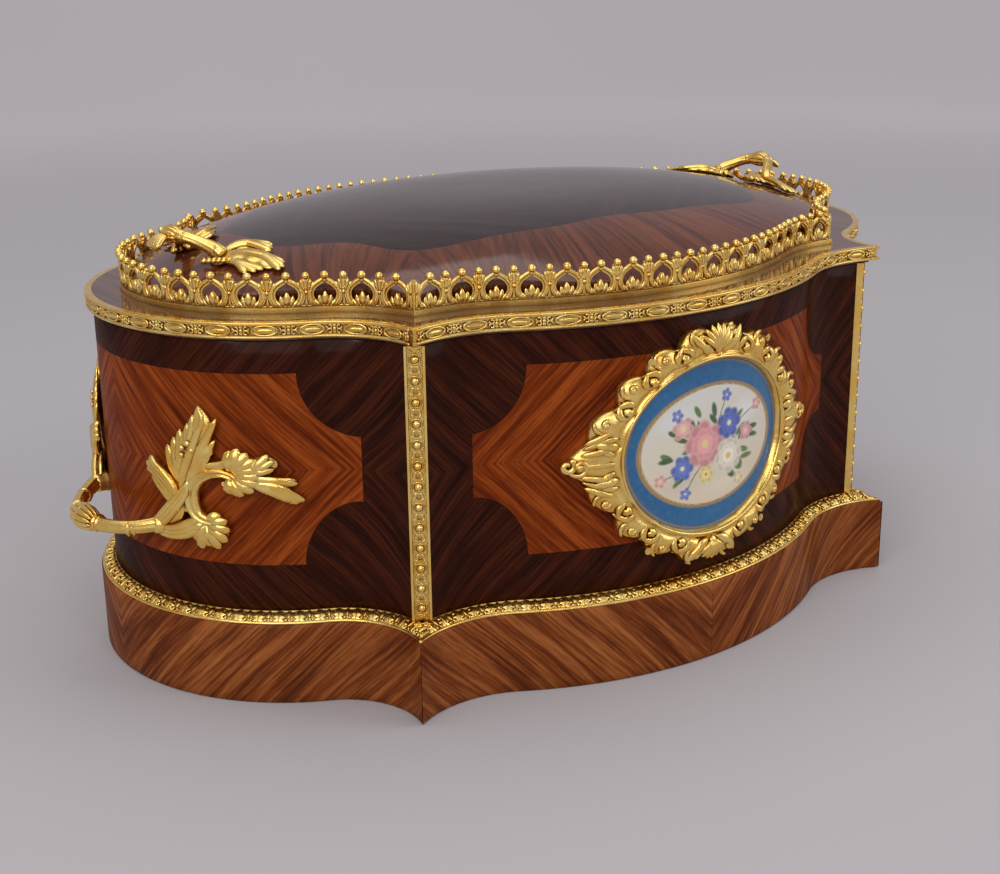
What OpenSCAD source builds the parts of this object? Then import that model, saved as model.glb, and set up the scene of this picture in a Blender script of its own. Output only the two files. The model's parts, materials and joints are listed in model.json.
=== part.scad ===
// Tabletop jardiniere: a serpentine veneered box planter with gilt mounts,
// a pierced gallery, a zinc liner and a domed lid that lifts off.
// X runs along the length, the plaque faces -Y, Z is up, and the origin is on
// the floor under the centre.

/* [Plan] */
// Half length between the corner points of the case
cusp_x = 131.7; // [120:0.1:144]
// Half depth between the corner points of the case
cusp_y = 119.4; // [108:0.1:130]
// How far the front and the back bow out past the corner points
front_rise = 28.4; // [22:0.1:34]
// How far the ends bow out past the corner points
end_rise = 76.8; // [70:0.1:84]
// Radius of the front and back bows
front_r = 170; // [158:1:185]
// Radius of the end bows
end_r = 90; // [84:1:98]
// Radius of the hollows beside the corners on the front and back
front_flank_r = 58; // [50:1:68]
// Radius of the hollows beside the corners on the ends
end_flank_r = 43; // [37:1:50]

/* [Plinth] */
// Height of the plinth
plinth_h = 36.4; // [30:0.1:44]
// How far the plinth stands out past the case walls
plinth_out = 7; // [6.6:0.1:9]
// Thickness of the plinth rails
rail_t = 12; // [10.5:0.1:15]
// Thickness of the bottom board
board_t = 8; // [6:0.1:12]
// Depth of the glue blocks in the plinth corners
block_w = 22; // [16:0.5:28]

/* [Case] */
// Height of the case walls above the plinth
wall_h = 121.8; // [108:0.1:136]
// Thickness of the case walls
wall_t = 9; // [7:0.1:11]
// Thickness of the top frame
top_t = 8; // [7:0.1:10]
// How much of each wall corner is cut away for the corner strip
corner_cut = 5; // [4:0.1:6.5]
// Depth of the glue blocks in the corners of the case
corner_block_w = 11; // [8:0.5:14]

/* [Mouldings] */
// Thickness of the moulding round the top edge
border_t = 2; // [1.4:0.1:3]
// Height of the moulding round the top edge
border_h = 6.6; // [5:0.1:9]
// Height of the two thin edges of the top moulding
border_edge_h = 1.3; // [0.8:0.05:1.6]
// How far these edges stand out past the moulding
border_edge_t = 0.8; // [0.4:0.05:1.2]
// Length of one oval of the top moulding with its gap
oval_pitch = 19; // [15:0.5:26]
// Depth of the leaf moulding on the plinth
leaf_w = 6; // [4.8:0.1:6.4]
// Height of the leaf moulding on the plinth
leaf_h = 3.8; // [3:0.1:6]
// Width of the corner strips
strip_w = 8.4; // [7:0.1:10]
// Thickness of the corner strips
strip_t = 3; // [2:0.1:4]
// Radius of the beads on the corner strips
bead_r = 1.7; // [1.2:0.1:2]
// Distance from one bead of a corner strip to the next
bead_pitch = 8.9; // [7:0.1:12]

/* [Gallery] */
// Distance from the wall face in to the outer face of the gallery
gallery_in = 13.4; // [11:0.1:15]
// Thickness of the gallery
gallery_t = 1.6; // [1.2:0.1:2.2]
// Height of the gallery without its knobs
gallery_h = 14.6; // [13.6:0.1:17]
// Width of one arch with its post
arch_pitch = 15.2; // [13.5:0.1:18]
// Radius of the round part of an arch opening
arch_r = 4.6; // [3.8:0.1:5]
// Radius of the knobs on top of the gallery
knob_r = 1.8; // [1.4:0.1:2]

/* [Plaque] */
// Half width of the opening of the plaque frame
sight_x = 44; // [36:0.5:50]
// Half height of the opening of the plaque frame
sight_z = 38; // [30:0.5:42]
// Width of the band of the plaque frame inside its scrolls
band_w = 11; // [8:0.5:14]
// Thickness of the plaque
plaque_t = 3; // [2:0.1:4]
// Radius of the scrolls round the plaque frame
scroll_r = 6; // [4.5:0.1:7.5]
// Number of scrolls round the plaque frame
scrolls = 18; // [14:2:22]

/* [Handles] */
// How far the bail of an end handle stands off the wall
bail_out = 16.5; // [14:0.5:20]
// Radius of the bail of an end handle
bail_r = 3; // [2.4:0.1:3.6]
// Height of the bail of an end handle above the plinth
bail_up = 38; // [32:0.5:44]
// Thickness of the leaves of an end handle
leaf_t = 3.6; // [2.6:0.1:4.6]
// Distance from the lid edge in to the feet of the lid bails
lid_foot_in = 31; // [28:0.5:36]
// Half distance between the two feet of a lid bail
lid_foot_y = 18; // [15:0.5:22]
// How far a lid bail reaches out past its feet
lid_bail_out = 22; // [19:0.5:24]
// How far a lid bail rises over its feet
lid_bail_up = 7; // [4:0.5:10]
// Radius of the lid bails
lid_bail_r = 2.2; // [1.8:0.1:2.6]
// Thickness of the leaves of a lid handle
lid_leaf_t = 2.6; // [2:0.1:3.4]

/* [Liner] */
// Distance from the wall face in to the liner
liner_in = 21.5; // [20.5:0.1:24]
// Thickness of the zinc sheet
sheet_t = 0.9; // [0.7:0.1:1.5]
// Width of the liner flange
flange_w = 2.8; // [2:0.1:4]
// Depth of the liner under the top
liner_h = 112; // [80:1:118]
// Radius of the lifting rings
ring_r = 10; // [8:0.5:13]
// Radius of the wire of the lifting rings
wire_r = 1.2; // [1:0.1:1.6]

/* [Lid] */
// Gap between the lid and the gallery
lid_gap = 0.8; // [0.5:0.1:1.5]
// Thickness of the flat frame of the lid
lid_frame_t = 5; // [4:0.1:7]
// Height of the dome over the flat frame
dome_h = 25; // [19:0.5:30]
// Thickness of the dome
dome_t = 7; // [5:0.1:9]
// Height of the upright edge of the dome
dome_edge = 1; // [0.6:0.1:2]
// Width of the lid frame
lid_frame_w = 12; // [9:0.5:15]
// Depth of the locating lip under the lid
lip_h = 6; // [4:0.5:9]

/* [Fasteners] */
// Radius of the screws that hold the handles
screw_r = 1.5; // [1.2:0.1:1.8]
// Radius of the heads of these screws
screw_head_r = 3.4; // [2.8:0.1:4]
// Thickness of the heads of these screws
screw_head_t = 2; // [1.4:0.1:2.6]
// Radius of the small screws and pins
pin_r = 0.8; // [0.6:0.05:1]

/* [Fit] */
// Gap between pieces that are glued or screwed together
seat_gap = 0.05; // [0.02:0.01:0.1]
// Gap round a piece that lifts out
slide_gap = 0.5; // [0.3:0.1:0.8]
// Gap round the wire of a lifting ring in its eye
eye_gap = 0.25; // [0.15:0.05:0.4]

/* [Hidden] */
$fn = 64;

gilt = "goldenrod";
veneer = "saddlebrown";
bare_wood = "burlywood";
zinc = "lightslategray";

// Heights that the pieces share
case_top = plinth_h + wall_h;
shelf = case_top + top_t;
lid_base = shelf + lid_frame_t;

// The outline is made of arcs that run into each other: a bow on each side and
// a hollow on both sides of every corner point. It is drawn at any distance
// out from the wall face by changing the radii of the same arcs.
reach = 400;
bow_lap = 0.6;
flank_lap = 1;

function unit(v) = v / norm(v);
function deg(length, r) = length / r * 180 / PI;
function bearing(from, to) = atan2(to[1] - from[1], to[0] - from[0]);
function turn(a, b) = (b - a + 720) % 360;
function spoke(c, r, angle) = c + r * [cos(angle), sin(angle)];
function sag(half, r) = r - sqrt(r * r - half * half);
function bow_radius(half, rise) = (half * half + rise * rise) / (2 * rise);

// Crossing of two circles, on the left of the line of centres for side 1
function meet(c0, r0, c1, r1, side) =
    let (
        d = norm(c1 - c0),
        a = (r0 * r0 - r1 * r1 + d * d) / (2 * d),
        e = unit(c1 - c0)
    )
    c0 + a * e + side * sqrt(r0 * r0 - a * a) * [-e[1], e[0]];

corner_0 = [cusp_x, cusp_y];
back_c = [0, cusp_y + front_rise - front_r];
end_c = [cusp_x + end_rise - end_r, 0];
back_flank_c = meet(back_c, front_r + front_flank_r, corner_0, front_flank_r, 1);
end_flank_c = meet(end_c, end_r + end_flank_r, corner_0, end_flank_r, -1);

function corner(out) =
    meet(back_flank_c, front_flank_r - out, end_flank_c, end_flank_r - out, -1);

back_half = 90 - bearing(back_c, back_flank_c) - deg(bow_lap, front_r);
end_half = bearing(end_c, end_flank_c) - deg(bow_lap, end_r);
mitre = unit(corner(plinth_out) - corner(-wall_t));
mitre_angle = atan2(mitre[1], mitre[0]);
mitre_reach = 70;

module both_x() {
    for (s = [0, 1]) mirror([s, 0, 0]) children();
}

module both_y() {
    for (s = [0, 1]) mirror([0, s, 0]) children();
}

module four_corners() {
    both_x() both_y() children();
}

// Places children at a corner point of the case with +X pointing outwards
module at_corner() {
    translate([cusp_x, cusp_y, 0]) rotate([0, 0, mitre_angle]) children();
}

// A flat piece with the whole outline, at a distance out from the wall face
module slab(out, h) {
    union() {
        both_y() intersection() {
            translate(back_c) cylinder(h = h, r = front_r + out);
            linear_extrude(h) polygon([
                back_c,
                spoke(back_c, reach, 90 - back_half),
                spoke(back_c, reach, 90 + back_half)
            ]);
        }
        both_x() intersection() {
            translate(end_c) cylinder(h = h, r = end_r + out);
            linear_extrude(h) polygon([
                end_c,
                spoke(end_c, reach, -end_half),
                end_c + [reach, 0],
                spoke(end_c, reach, end_half)
            ]);
        }
        four_corners() difference() {
            linear_extrude(h) polygon([
                back_c,
                spoke(back_c, norm(back_flank_c - back_c),
                    90 - back_half + deg(flank_lap - bow_lap, front_r)),
                corner(out) + 3 * mitre,
                spoke(end_c, norm(end_flank_c - end_c), end_half - deg(flank_lap - bow_lap, end_r)),
                end_c
            ]);
            translate([back_flank_c[0], back_flank_c[1], -1])
                cylinder(h = h + 2, r = front_flank_r - out);
            translate([end_flank_c[0], end_flank_c[1], -1])
                cylinder(h = h + 2, r = end_flank_r - out);
        }
    }
}

// A flat ring between two distances out from the wall face
module slab_ring(out, inner, h) {
    difference() {
        slab(out, h);
        translate([0, 0, -1]) slab(inner, h + 2);
    }
}

module back_sector(h) {
    inner = corner_0 - mitre_reach * mitre;
    outer = corner_0 + mitre_reach * mitre;
    translate([0, 0, -1]) linear_extrude(h + 2) polygon([
        inner, outer, [outer[0], outer[1] + mitre_reach],
        [-outer[0], outer[1] + mitre_reach], [-outer[0], outer[1]], [-inner[0], inner[1]]
    ]);
}

module right_sector(h) {
    inner = corner_0 - mitre_reach * mitre;
    outer = corner_0 + mitre_reach * mitre;
    translate([0, 0, -1]) linear_extrude(h + 2) polygon([
        inner, outer, [outer[0] + 2 * mitre_reach, outer[1]],
        [outer[0] + 2 * mitre_reach, -outer[1]], [outer[0], -outer[1]], [inner[0], -inner[1]]
    ]);
}

module sector(side) {
    if (side == "back") back_sector(reach);
    if (side == "right") right_sector(reach);
}

// A strip along one side, mitred at both corners, between two distances out
// from the wall face and from height z up by h
module strip(side, out, inner, z, h) {
    intersection() {
        translate([0, 0, z]) slab_ring(out, inner, h);
        sector(side);
    }
}

module to_front() {
    mirror([0, 1, 0]) children();
}

module to_left() {
    mirror([1, 0, 0]) children();
}

// Plinth

module plinth_back() {
    color(veneer) strip("back", plinth_out, plinth_out - rail_t, 0, plinth_h);
}

module plinth_front() {
    to_front() plinth_back();
}

module plinth_right() {
    color(veneer) strip("right", plinth_out, plinth_out - rail_t, 0, plinth_h);
}

module plinth_left() {
    to_left() plinth_right();
}

module bottom_board() {
    color(bare_wood) translate([0, 0, plinth_h - board_t])
        slab(plinth_out - rail_t - seat_gap, board_t);
}

// A glue block fills a corner: a triangle whose two faces lie on the walls
module glue_block(out, z, h, w) {
    tip = corner(out);
    intersection() {
        translate([0, 0, z]) slab(out, h);
        translate([tip[0], tip[1], z]) rotate([0, 0, mitre_angle])
            translate([-w, -w, 0]) cube([w, 2 * w, h]);
    }
}

module plinth_blocks() {
    color(bare_wood) four_corners()
        glue_block(plinth_out - rail_t - seat_gap, 2, plinth_h - board_t - seat_gap - 2, block_w);
}

// The corner strips stand on the leaf moulding and end under the top frame
function strip_base() = plinth_h + leaf_h;

module corner_cuts() {
    four_corners() translate([0, 0, strip_base()]) at_corner()
        translate([-corner_cut, -2 * strip_w, 0])
            cube([4 * strip_w, 4 * strip_w, wall_h]);
}

module case_back() {
    color(veneer) difference() {
        strip("back", 0, -wall_t, plinth_h, wall_h);
        corner_cuts();
    }
}

module case_front() {
    color(veneer) to_front() difference() {
        strip("back", 0, -wall_t, plinth_h, wall_h);
        corner_cuts();
        frame_screw_places() frame_screw(seat_gap);
    }
}

module case_right() {
    color(veneer) difference() {
        strip("right", 0, -wall_t, plinth_h, wall_h);
        corner_cuts();
        handle_screw_pair(seat_gap);
    }
}

module case_left() {
    to_left() case_right();
}

module corner_blocks() {
    color(bare_wood) four_corners()
        glue_block(-wall_t - seat_gap, plinth_h + seat_gap, wall_h - 2 * seat_gap, corner_block_w);
}

// Top frame

// Distance out from the wall face of the pieces round the opening
liner_edge = -liner_in;
flange_edge = flange_w - liner_in;
gallery_edge = -gallery_in;
gallery_back_edge = -gallery_in - gallery_t;
lid_edge = -gallery_in - gallery_t - lid_gap;
lip_edge = -liner_in - sheet_t - slide_gap;

module top_frame() {
    color(veneer) difference() {
        translate([0, 0, case_top]) slab(0, top_t);
        translate([0, 0, case_top - 1]) slab(liner_edge + slide_gap, top_t + 2);
        translate([0, 0, shelf - sheet_t]) slab(flange_edge + slide_gap, sheet_t + 1);
        gallery_screw_set(seat_gap);
    }
}

// Mouldings round the top edge and on the plinth

module border_band(side) {
    strip(side, seat_gap + border_t, seat_gap, shelf - border_h, border_h);
    for (z = [shelf - border_h, shelf - border_edge_h])
        strip(side, seat_gap + border_t + border_edge_t, seat_gap, z, border_edge_h);
}

// The leaf moulding steps in towards the wall
module leaf_band(side) {
    for (step = [[1, 0.35], [0.86, 0.7], [0.5, 1]])
        strip(side, seat_gap + leaf_w * step[0], seat_gap, plinth_h, leaf_h * step[1]);
}

// The points along a side lie on its bow and on the hollows at both ends
function side_c(side) = side == "back" ? back_c : end_c;
function side_r(side) = side == "back" ? front_r : end_r;
function side_flank_c(side) = side == "back" ? back_flank_c : end_flank_c;
function side_flank_r(side) = side == "back" ? front_flank_r : end_flank_r;
function side_middle(side) = side == "back" ? 90 : 0;
function side_way(side) = side == "back" ? -1 : 1;

function bow_angle(side) =
    abs(bearing(side_c(side), side_flank_c(side)) - side_middle(side));
function flank_angle(side, out) =
    let (
        from = bearing(side_flank_c(side), side_c(side)),
        to = bearing(side_flank_c(side), corner(out))
    )
    side == "back" ? turn(from, to) : turn(to, from);
function bow_length(side, out) = bow_angle(side) * PI / 180 * (side_r(side) + out);
function half_length(side, out) =
    bow_length(side, out) + flank_angle(side, out) * PI / 180 * (side_flank_r(side) - out);
function copies(side, out, pitch) = round(2 * half_length(side, out) / pitch);

// Places children at a distance s along a side from its middle, with +X
// pointing outwards, on the hollow past the end of the bow
module at_spot(side, out, s) {
    bow = bow_length(side, out);
    flank_r = side_flank_r(side) - out;
    if (s <= bow) {
        a = side_middle(side) + side_way(side) * deg(s, side_r(side) + out);
        translate(spoke(side_c(side), side_r(side) + out, a)) rotate([0, 0, a]) children();
    } else {
        from = bearing(side_flank_c(side), side_c(side));
        b = from - side_way(side) * deg(s - bow, flank_r);
        translate(spoke(side_flank_c(side), flank_r, b)) rotate([0, 0, b + 180]) children();
    }
}

// Places children at both sides of the middle
module at_spots(side, out, places) {
    for (s = places) {
        at_spot(side, out, abs(s)) children();
        if (abs(s) > 0.01)
            mirror(side == "back" ? [1, 0, 0] : [0, 1, 0]) at_spot(side, out, abs(s)) children();
    }
}

// Distances from the middle of a side, for n copies of a pattern. A shift of
// 0 gives the middles of the copies and a shift of 0.5 their joints.
function half_places(side, out, n, shift) =
    let (pitch = 2 * half_length(side, out) / n)
    [for (i = [0 : n]) let (s = (i + 0.5 + shift - n / 2) * pitch)
        if (s >= -0.01 && s <= half_length(side, out) + 0.01) s];

module oval_boss() {
    translate([border_t - 0.5, 0, 0]) rotate([0, 90, 0]) {
        for (s = [-1, 1]) translate([0, s * oval_pitch * 0.16, 0]) cylinder(h = 1.1, r = border_h * 0.2);
        translate([-border_h * 0.19, -oval_pitch * 0.16, 0])
            cube([border_h * 0.38, oval_pitch * 0.32, 1.1]);
    }
}

module border(side) {
    color(gilt) intersection() {
        union() {
            border_band(side);
            at_spots(side, 0, half_places(side, 0, copies(side, 0, oval_pitch), 0))
                translate([0, 0, shelf - border_h / 2]) oval_boss();
        }
        sector(side);
    }
}

module border_back() {
    border("back");
}

module border_front() {
    to_front() border("back");
}

module border_right() {
    border("right");
}

module border_left() {
    to_left() border("right");
}

module base_moulding(side) {
    color(gilt) leaf_band(side);
}

module base_moulding_back() {
    base_moulding("back");
}

module base_moulding_front() {
    to_front() base_moulding("back");
}

module base_moulding_right() {
    base_moulding("right");
}

module base_moulding_left() {
    to_left() base_moulding("right");
}

// Corner strips

module corner_strip_back_right() {
    length = case_top - strip_base() - 2 * seat_gap;
    beads = floor(length / bead_pitch);
    first = (length - (beads - 1) * bead_pitch) / 2;
    edge_w = strip_w * 0.12;
    color(gilt) translate([0, 0, strip_base() + seat_gap]) at_corner()
        translate([seat_gap - corner_cut, 0, 0]) difference() {
            union() {
                translate([0, -strip_w / 2, 0]) cube([strip_t - 0.7, strip_w, length]);
                for (s = [-1, 1]) translate([0, s * (strip_w - edge_w) / 2 - edge_w / 2, 0])
                    cube([strip_t, edge_w, length]);
                for (i = [0 : beads - 1]) translate([strip_t - 0.7, 0, first + i * bead_pitch])
                    sphere(bead_r);
            }
            translate([-2 * bead_r - seat_gap, -strip_w, -1])
                cube([2 * bead_r + seat_gap, 2 * strip_w, length + 2]);
            for (i = [0 : beads - 2])
                translate([strip_t - 1.4, 0, first + (i + 0.5) * bead_pitch])
                    rotate([0, 90, 0]) cylinder(h = strip_t, r = bead_r * 0.6);
        }
}

module corner_strip_back_left() {
    to_left() corner_strip_back_right();
}

module corner_strip_front_right() {
    to_front() corner_strip_back_right();
}

module corner_strip_front_left() {
    to_front() to_left() corner_strip_back_right();
}

// Gallery: a thin band of metal bent to the outline and pierced with onion
// arches. A knob stands over every arch and over the palmette of every post.

arch_z = 7.4;
rail_h = 2.4;

module gallery_foot(side) {
    strip(side, gallery_edge + 1.1, gallery_back_edge, shelf + seat_gap, 1.2);
    strip(side, gallery_edge + 0.7, gallery_back_edge, shelf + seat_gap, rail_h);
}

// A prism that runs through the band, from a drawing with x along the band
module through_band() {
    translate([-gallery_t * 2, 0, shelf + seat_gap]) rotate([90, 0, 90])
        linear_extrude(gallery_t * 4) children();
}

// The right half of an arch opening: round below, pointed on top like an
// onion, with a leaf that stands on the foot of the opening
half_arch = [
    [0.26, -0.13], [0.57, -0.41], [0.78, -0.57], [0.96, -0.3], [1.02, 0],
    [0.96, 0.3], [0.74, 0.6], [0.43, 0.82], [0.17, 0.97]
];

module arch_opening() {
    n = len(half_arch) - 1;
    through_band() translate([0, arch_z]) scale(arch_r) polygon(concat(
        [[0, 0.2]], half_arch, [[0, 1.12]], [for (i = [n : -1 : 0]) [-half_arch[i][0], half_arch[i][1]]]
    ));
}

// The open notch between the top of an arch and the palmette beside it
module notch(pitch) {
    top = gallery_h + 3;
    p = pitch / 2;
    rim = arch_z + arch_r + 1.2;
    for (side = [0, 1]) mirror([0, side, 0]) through_band() polygon([
        [0.9, top], [0.9, rim], [2.4, rim - 0.8], [4, rim - 1.9], [p - 2.3, rim - 3.2],
        [p - 1.6, rim - 3.9], [p - 1.9, rim - 2.6], [p - 2.7, rim - 1.6], [p - 2.4, rim - 0.8],
        [p - 1.7, rim - 0.3], [p - 1.7, rim + 0.6], [p - 0.8, rim + 1.2], [p - 0.8, top]
    ]);
}

module knob(share) {
    lift = gallery_h + 0.35 * knob_r;
    translate([knob_r + 0.1 - gallery_t / 2, 0, shelf + seat_gap + lift]) sphere(knob_r * share);
}

module gallery(side) {
    middle = -gallery_in - gallery_t / 2;
    n = copies(side, middle, arch_pitch);
    arches = half_places(side, middle, n, 0);
    posts = [for (s = half_places(side, middle, n, 0.5)) if (s < half_length(side, middle) - 1) s];
    color(gilt) difference() {
        union() {
            difference() {
                strip(side, gallery_edge, gallery_back_edge, shelf + seat_gap, gallery_h);
                at_spots(side, middle, arches) {
                    arch_opening();
                    notch(2 * half_length(side, middle) / n);
                }
            }
            gallery_foot(side);
            at_spots(side, middle, arches) knob(1);
            at_spots(side, middle, posts) knob(0.9);
        }
        gallery_screws_of(side, seat_gap);
    }
}

module gallery_back() {
    gallery("back");
}

module gallery_front() {
    to_front() gallery("back");
}

module gallery_right() {
    gallery("right");
}

module gallery_left() {
    to_left() gallery("right");
}

// Screws from below, through the top frame into the foot of the gallery

gallery_screw_r = 0.55;

module gallery_screw(gap) {
    bite = 1.6;
    translate([0, 0, case_top - 1]) cylinder(h = top_t + 1 + bite + gap, r = gallery_screw_r + gap);
    translate([0, 0, case_top - 1 - seat_gap]) cylinder(h = 1 + gap, r = 3 * gallery_screw_r);
}

module gallery_screws_of(side, gap) {
    middle = -gallery_in - gallery_t / 2;
    at_spots(side, middle, [0, half_length(side, middle) * 0.6]) gallery_screw(gap);
}

module gallery_screw_set(gap) {
    both_y() gallery_screws_of("back", gap);
    both_x() gallery_screws_of("right", gap);
}

module gallery_screws() {
    color(zinc) gallery_screw_set(0);
}

// Plaque and its frame, drawn on the back bow and turned to the front

plaque_z = plinth_h + wall_h * 0.52;
oval_steps = 48;
ear = 9;

// A layer that follows the bow, between two distances out from the wall face
module bow_layer(inner, outer) {
    translate([back_c[0], back_c[1], plinth_h]) difference() {
        cylinder(h = wall_h, r = front_r + outer, $fn = 200);
        translate([0, 0, -1]) cylinder(h = wall_h + 2, r = front_r + inner, $fn = 200);
    }
}

// A prism towards the front from a drawing with x to the right and y up
module onto_bow() {
    translate([0, reach, plaque_z]) rotate([90, 0, 0]) linear_extrude(reach) children();
}

function oval_point(a, extra) = [(sight_x + extra) * cos(a), (sight_z + extra) * sin(a)];

module oval(extra) {
    polygon([for (i = [0 : oval_steps - 1]) oval_point(i * 360 / oval_steps, extra)]);
}

// The outer edge of the frame: a row of round scrolls with an ear at each
// side and a crest and a foot at the middle
function frame_edge(a) =
    band_w - scroll_r * 0.4 + scroll_r * pow(abs(sin(a * scrolls / 2 + 90)), 0.7)
        + ear * pow(abs(cos(a)), 24) + scroll_r * 0.3 * pow(abs(sin(a)), 24);

module scrolled_oval() {
    steps = scrolls * 6;
    polygon([for (i = [0 : steps - 1]) let (a = i * 360 / steps) oval_point(a, frame_edge(a))]);
}

function bow_y(x, out) = back_c[1] + sqrt(pow(front_r + out, 2) - x * x);

module scroll_eye(a) {
    place = oval_point(a, frame_edge(a) - scroll_r * 0.8);
    translate([place[0], bow_y(place[0], plaque_t + 0.6), plaque_z + place[1]])
        sphere(scroll_r * 0.5);
}

module plaque_frame() {
    lip = 2.5;
    color(gilt) to_front() difference() {
        union() {
            intersection() {
                bow_layer(seat_gap, plaque_t + 1.2);
                onto_bow() scrolled_oval();
            }
            intersection() {
                bow_layer(plaque_t, plaque_t + 3.4);
                onto_bow() oval(band_w * 0.55);
            }
            for (i = [0 : scrolls - 1]) scroll_eye(i * 360 / scrolls);
        }
        onto_bow() oval(0);
        intersection() {
            bow_layer(-1, plaque_t + seat_gap);
            onto_bow() oval(lip);
        }
        frame_screw_places() frame_screw(seat_gap);
    }
}

module plaque() {
    color("lightskyblue") to_front() intersection() {
        bow_layer(seat_gap, plaque_t);
        onto_bow() oval(2.4);
    }
}

// Screws through the frame into the wall, square to the bow

frame_screw_x = sight_x * 0.75;

module frame_screw_places() {
    for (s = [-1, 1], t = [-1, 1])
        translate([back_c[0], back_c[1], plaque_z + t * (sight_z + band_w) * 0.86])
            rotate([0, 0, 90 + s * asin(frame_screw_x / front_r)])
                translate([front_r, 0, 0]) rotate([0, 90, 0]) children();
}

module frame_screw(gap) {
    translate([0, 0, -wall_t * 0.7]) cylinder(h = wall_t * 0.7 + plaque_t + 2, r = pin_r + gap);
    translate([0, 0, plaque_t + 0.2 - gap]) cylinder(h = 1.6 + gap, r = 2 * pin_r + gap);
}

module frame_screws() {
    color(gilt) to_front() frame_screw_places() frame_screw(0);
}

// End handles: leaves that lie on the wall, joined by a bail that stands off
// it. The leaves are drawn seen from the end: x from the middle and y up.

handle_z = plinth_h + bail_up;
foot_angle = 22;
foot_out = leaf_t + 0.6;

// A leaf: a chain of discs [x, y, radius] joined by tapered bars
module limbs(p) {
    for (q = p) translate([q[0], q[1], 0]) cylinder(h = reach, r = q[2]);
    for (i = [1 : len(p) - 1]) {
        a = p[i - 1];
        b = p[i];
        side = 0.9 * unit([a[1] - b[1], b[0] - a[0]]);
        linear_extrude(reach) polygon([
            [a[0], a[1]] + a[2] * side, [b[0], b[1]] + b[2] * side,
            [b[0], b[1]] - b[2] * side, [a[0], a[1]] - a[2] * side
        ]);
    }
}

module end_leaves() {
    // plume
    limbs([[40, 9, 5.5], [45, 24, 5.5], [47, 36, 6], [50, 45, 4.6], [51, 52, 2.6], [49, 56, 1.2]]);
    limbs([[44, 20, 3.4], [36, 22, 3], [30, 28, 2.8], [28, 29, 3]]);
    limbs([[46, 32, 3.2], [38, 36, 2.4]]);
    limbs([[48, 38, 3], [43, 44, 2.2]]);
    // scroll and shell
    limbs([[44, 12, 4.2], [46, 22, 3.4], [54, 28, 3.2], [62, 27, 6.5]]);
    limbs([[62, 29, 5.5], [61, 37, 2.2]]);
    limbs([[64, 26, 5.5], [69, 35, 2.6]]);
    limbs([[62, 27, 6.5], [70, 24, 3.6], [75, 18, 2.2], [76.5, 15, 1.4]]);
    // foot
    limbs([[34, 3, 3.4], [42, 8, 5.4], [50, 8, 4], [54, 3, 5.4], [50, -4, 2.4]]);
    limbs([[54, 3, 5], [56, -3, 2.6]]);
}

module end_bail() {
    foot = (end_r + foot_out) * [cos(foot_angle), sin(foot_angle)];
    top = end_r + bail_out;
    r = bow_radius(foot[1], top - foot[0]);
    half = atan2(foot[1], foot[0] - top + r);
    translate([end_c[0] + top - r, 0, handle_z]) {
        rotate([0, 0, -half]) rotate_extrude(angle = 2 * half) translate([r, 0]) circle(bail_r);
        for (a = [-9, 9]) rotate([0, 0, a - 1.5]) rotate_extrude(angle = 3) translate([r, 0])
            circle(bail_r * 1.35);
        translate([r, 0, 0]) sphere(bail_r * 1.7);
    }
    both_y() translate([end_c[0] + foot[0], foot[1], handle_z]) sphere(bail_r * 1.6);
}

module end_scroll() {
    angle = asin(54.5 / end_r);
    translate(end_c) rotate([0, 0, angle]) translate([end_r + leaf_t - 0.4, 0, handle_z + 17])
        rotate([0, 90, 0]) rotate_extrude() translate([8.6, 0]) circle(2.2);
}

module handle_right() {
    color(gilt) difference() {
        union() {
            intersection() {
                translate([end_c[0], end_c[1], plinth_h]) cylinder(h = wall_h, r = end_r + leaf_t);
                translate([end_c[0], 0, handle_z]) both_y() rotate([90, 0, 90]) end_leaves();
            }
            both_y() end_scroll();
            end_bail();
        }
        translate([end_c[0], end_c[1], 0]) cylinder(h = shelf, r = end_r + seat_gap);
        handle_screw_pair(seat_gap);
    }
}

module handle_left() {
    to_left() handle_right();
}

// Screws from inside the wall into the feet of the bail

module handle_screw(gap) {
    inside = wall_t + sag(screw_head_r, end_r - wall_t) + seat_gap;
    translate([-inside, 0, 0]) rotate([0, 90, 0])
        cylinder(h = inside + foot_out + gap, r = screw_r + gap);
    translate([-inside - screw_head_t, 0, 0]) rotate([0, 90, 0])
        cylinder(h = screw_head_t, r = screw_head_r);
}

module handle_screw_pair(gap) {
    both_y() translate([end_c[0], end_c[1], handle_z]) rotate([0, 0, foot_angle])
        translate([end_r, 0, 0]) handle_screw(gap);
}

module handle_screws() {
    color(zinc) both_x() handle_screw_pair(0);
}

// Liner

liner_floor = shelf - liner_h;

module liner() {
    color(zinc) difference() {
        union() {
            translate([0, 0, liner_floor]) slab(liner_edge, liner_h);
            translate([0, 0, shelf - sheet_t]) slab(flange_edge, sheet_t);
        }
        translate([0, 0, liner_floor + sheet_t]) slab(liner_edge - sheet_t, liner_h);
    }
}

// The eyes of the lifting rings are soldered inside the ends of the liner

eye_z = shelf - lip_h - 14;
eye_w = 7;
eye_wall = 1.4;
eye_out = wire_r + eye_gap + eye_wall;
eye_x = end_c[0] + end_r - liner_in - sheet_t - eye_out - 1;

module liner_lug() {
    eye_r = wire_r + eye_gap;
    wall_x = end_c[0] + sqrt(pow(end_r - liner_in - sheet_t, 2) - eye_w * eye_w / 4) - seat_gap;
    difference() {
        union() {
            translate([eye_x, eye_w / 2, eye_z]) rotate([90, 0, 0]) cylinder(h = eye_w, r = eye_out);
            translate([eye_x, -eye_w / 2, eye_z - eye_out * 0.8])
                cube([wall_x - eye_x, eye_w, eye_out * 1.6]);
        }
        translate([eye_x, eye_w, eye_z]) rotate([90, 0, 0]) cylinder(h = 2 * eye_w, r = eye_r);
    }
}

module liner_lugs() {
    color(zinc) both_x() liner_lug();
}

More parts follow.
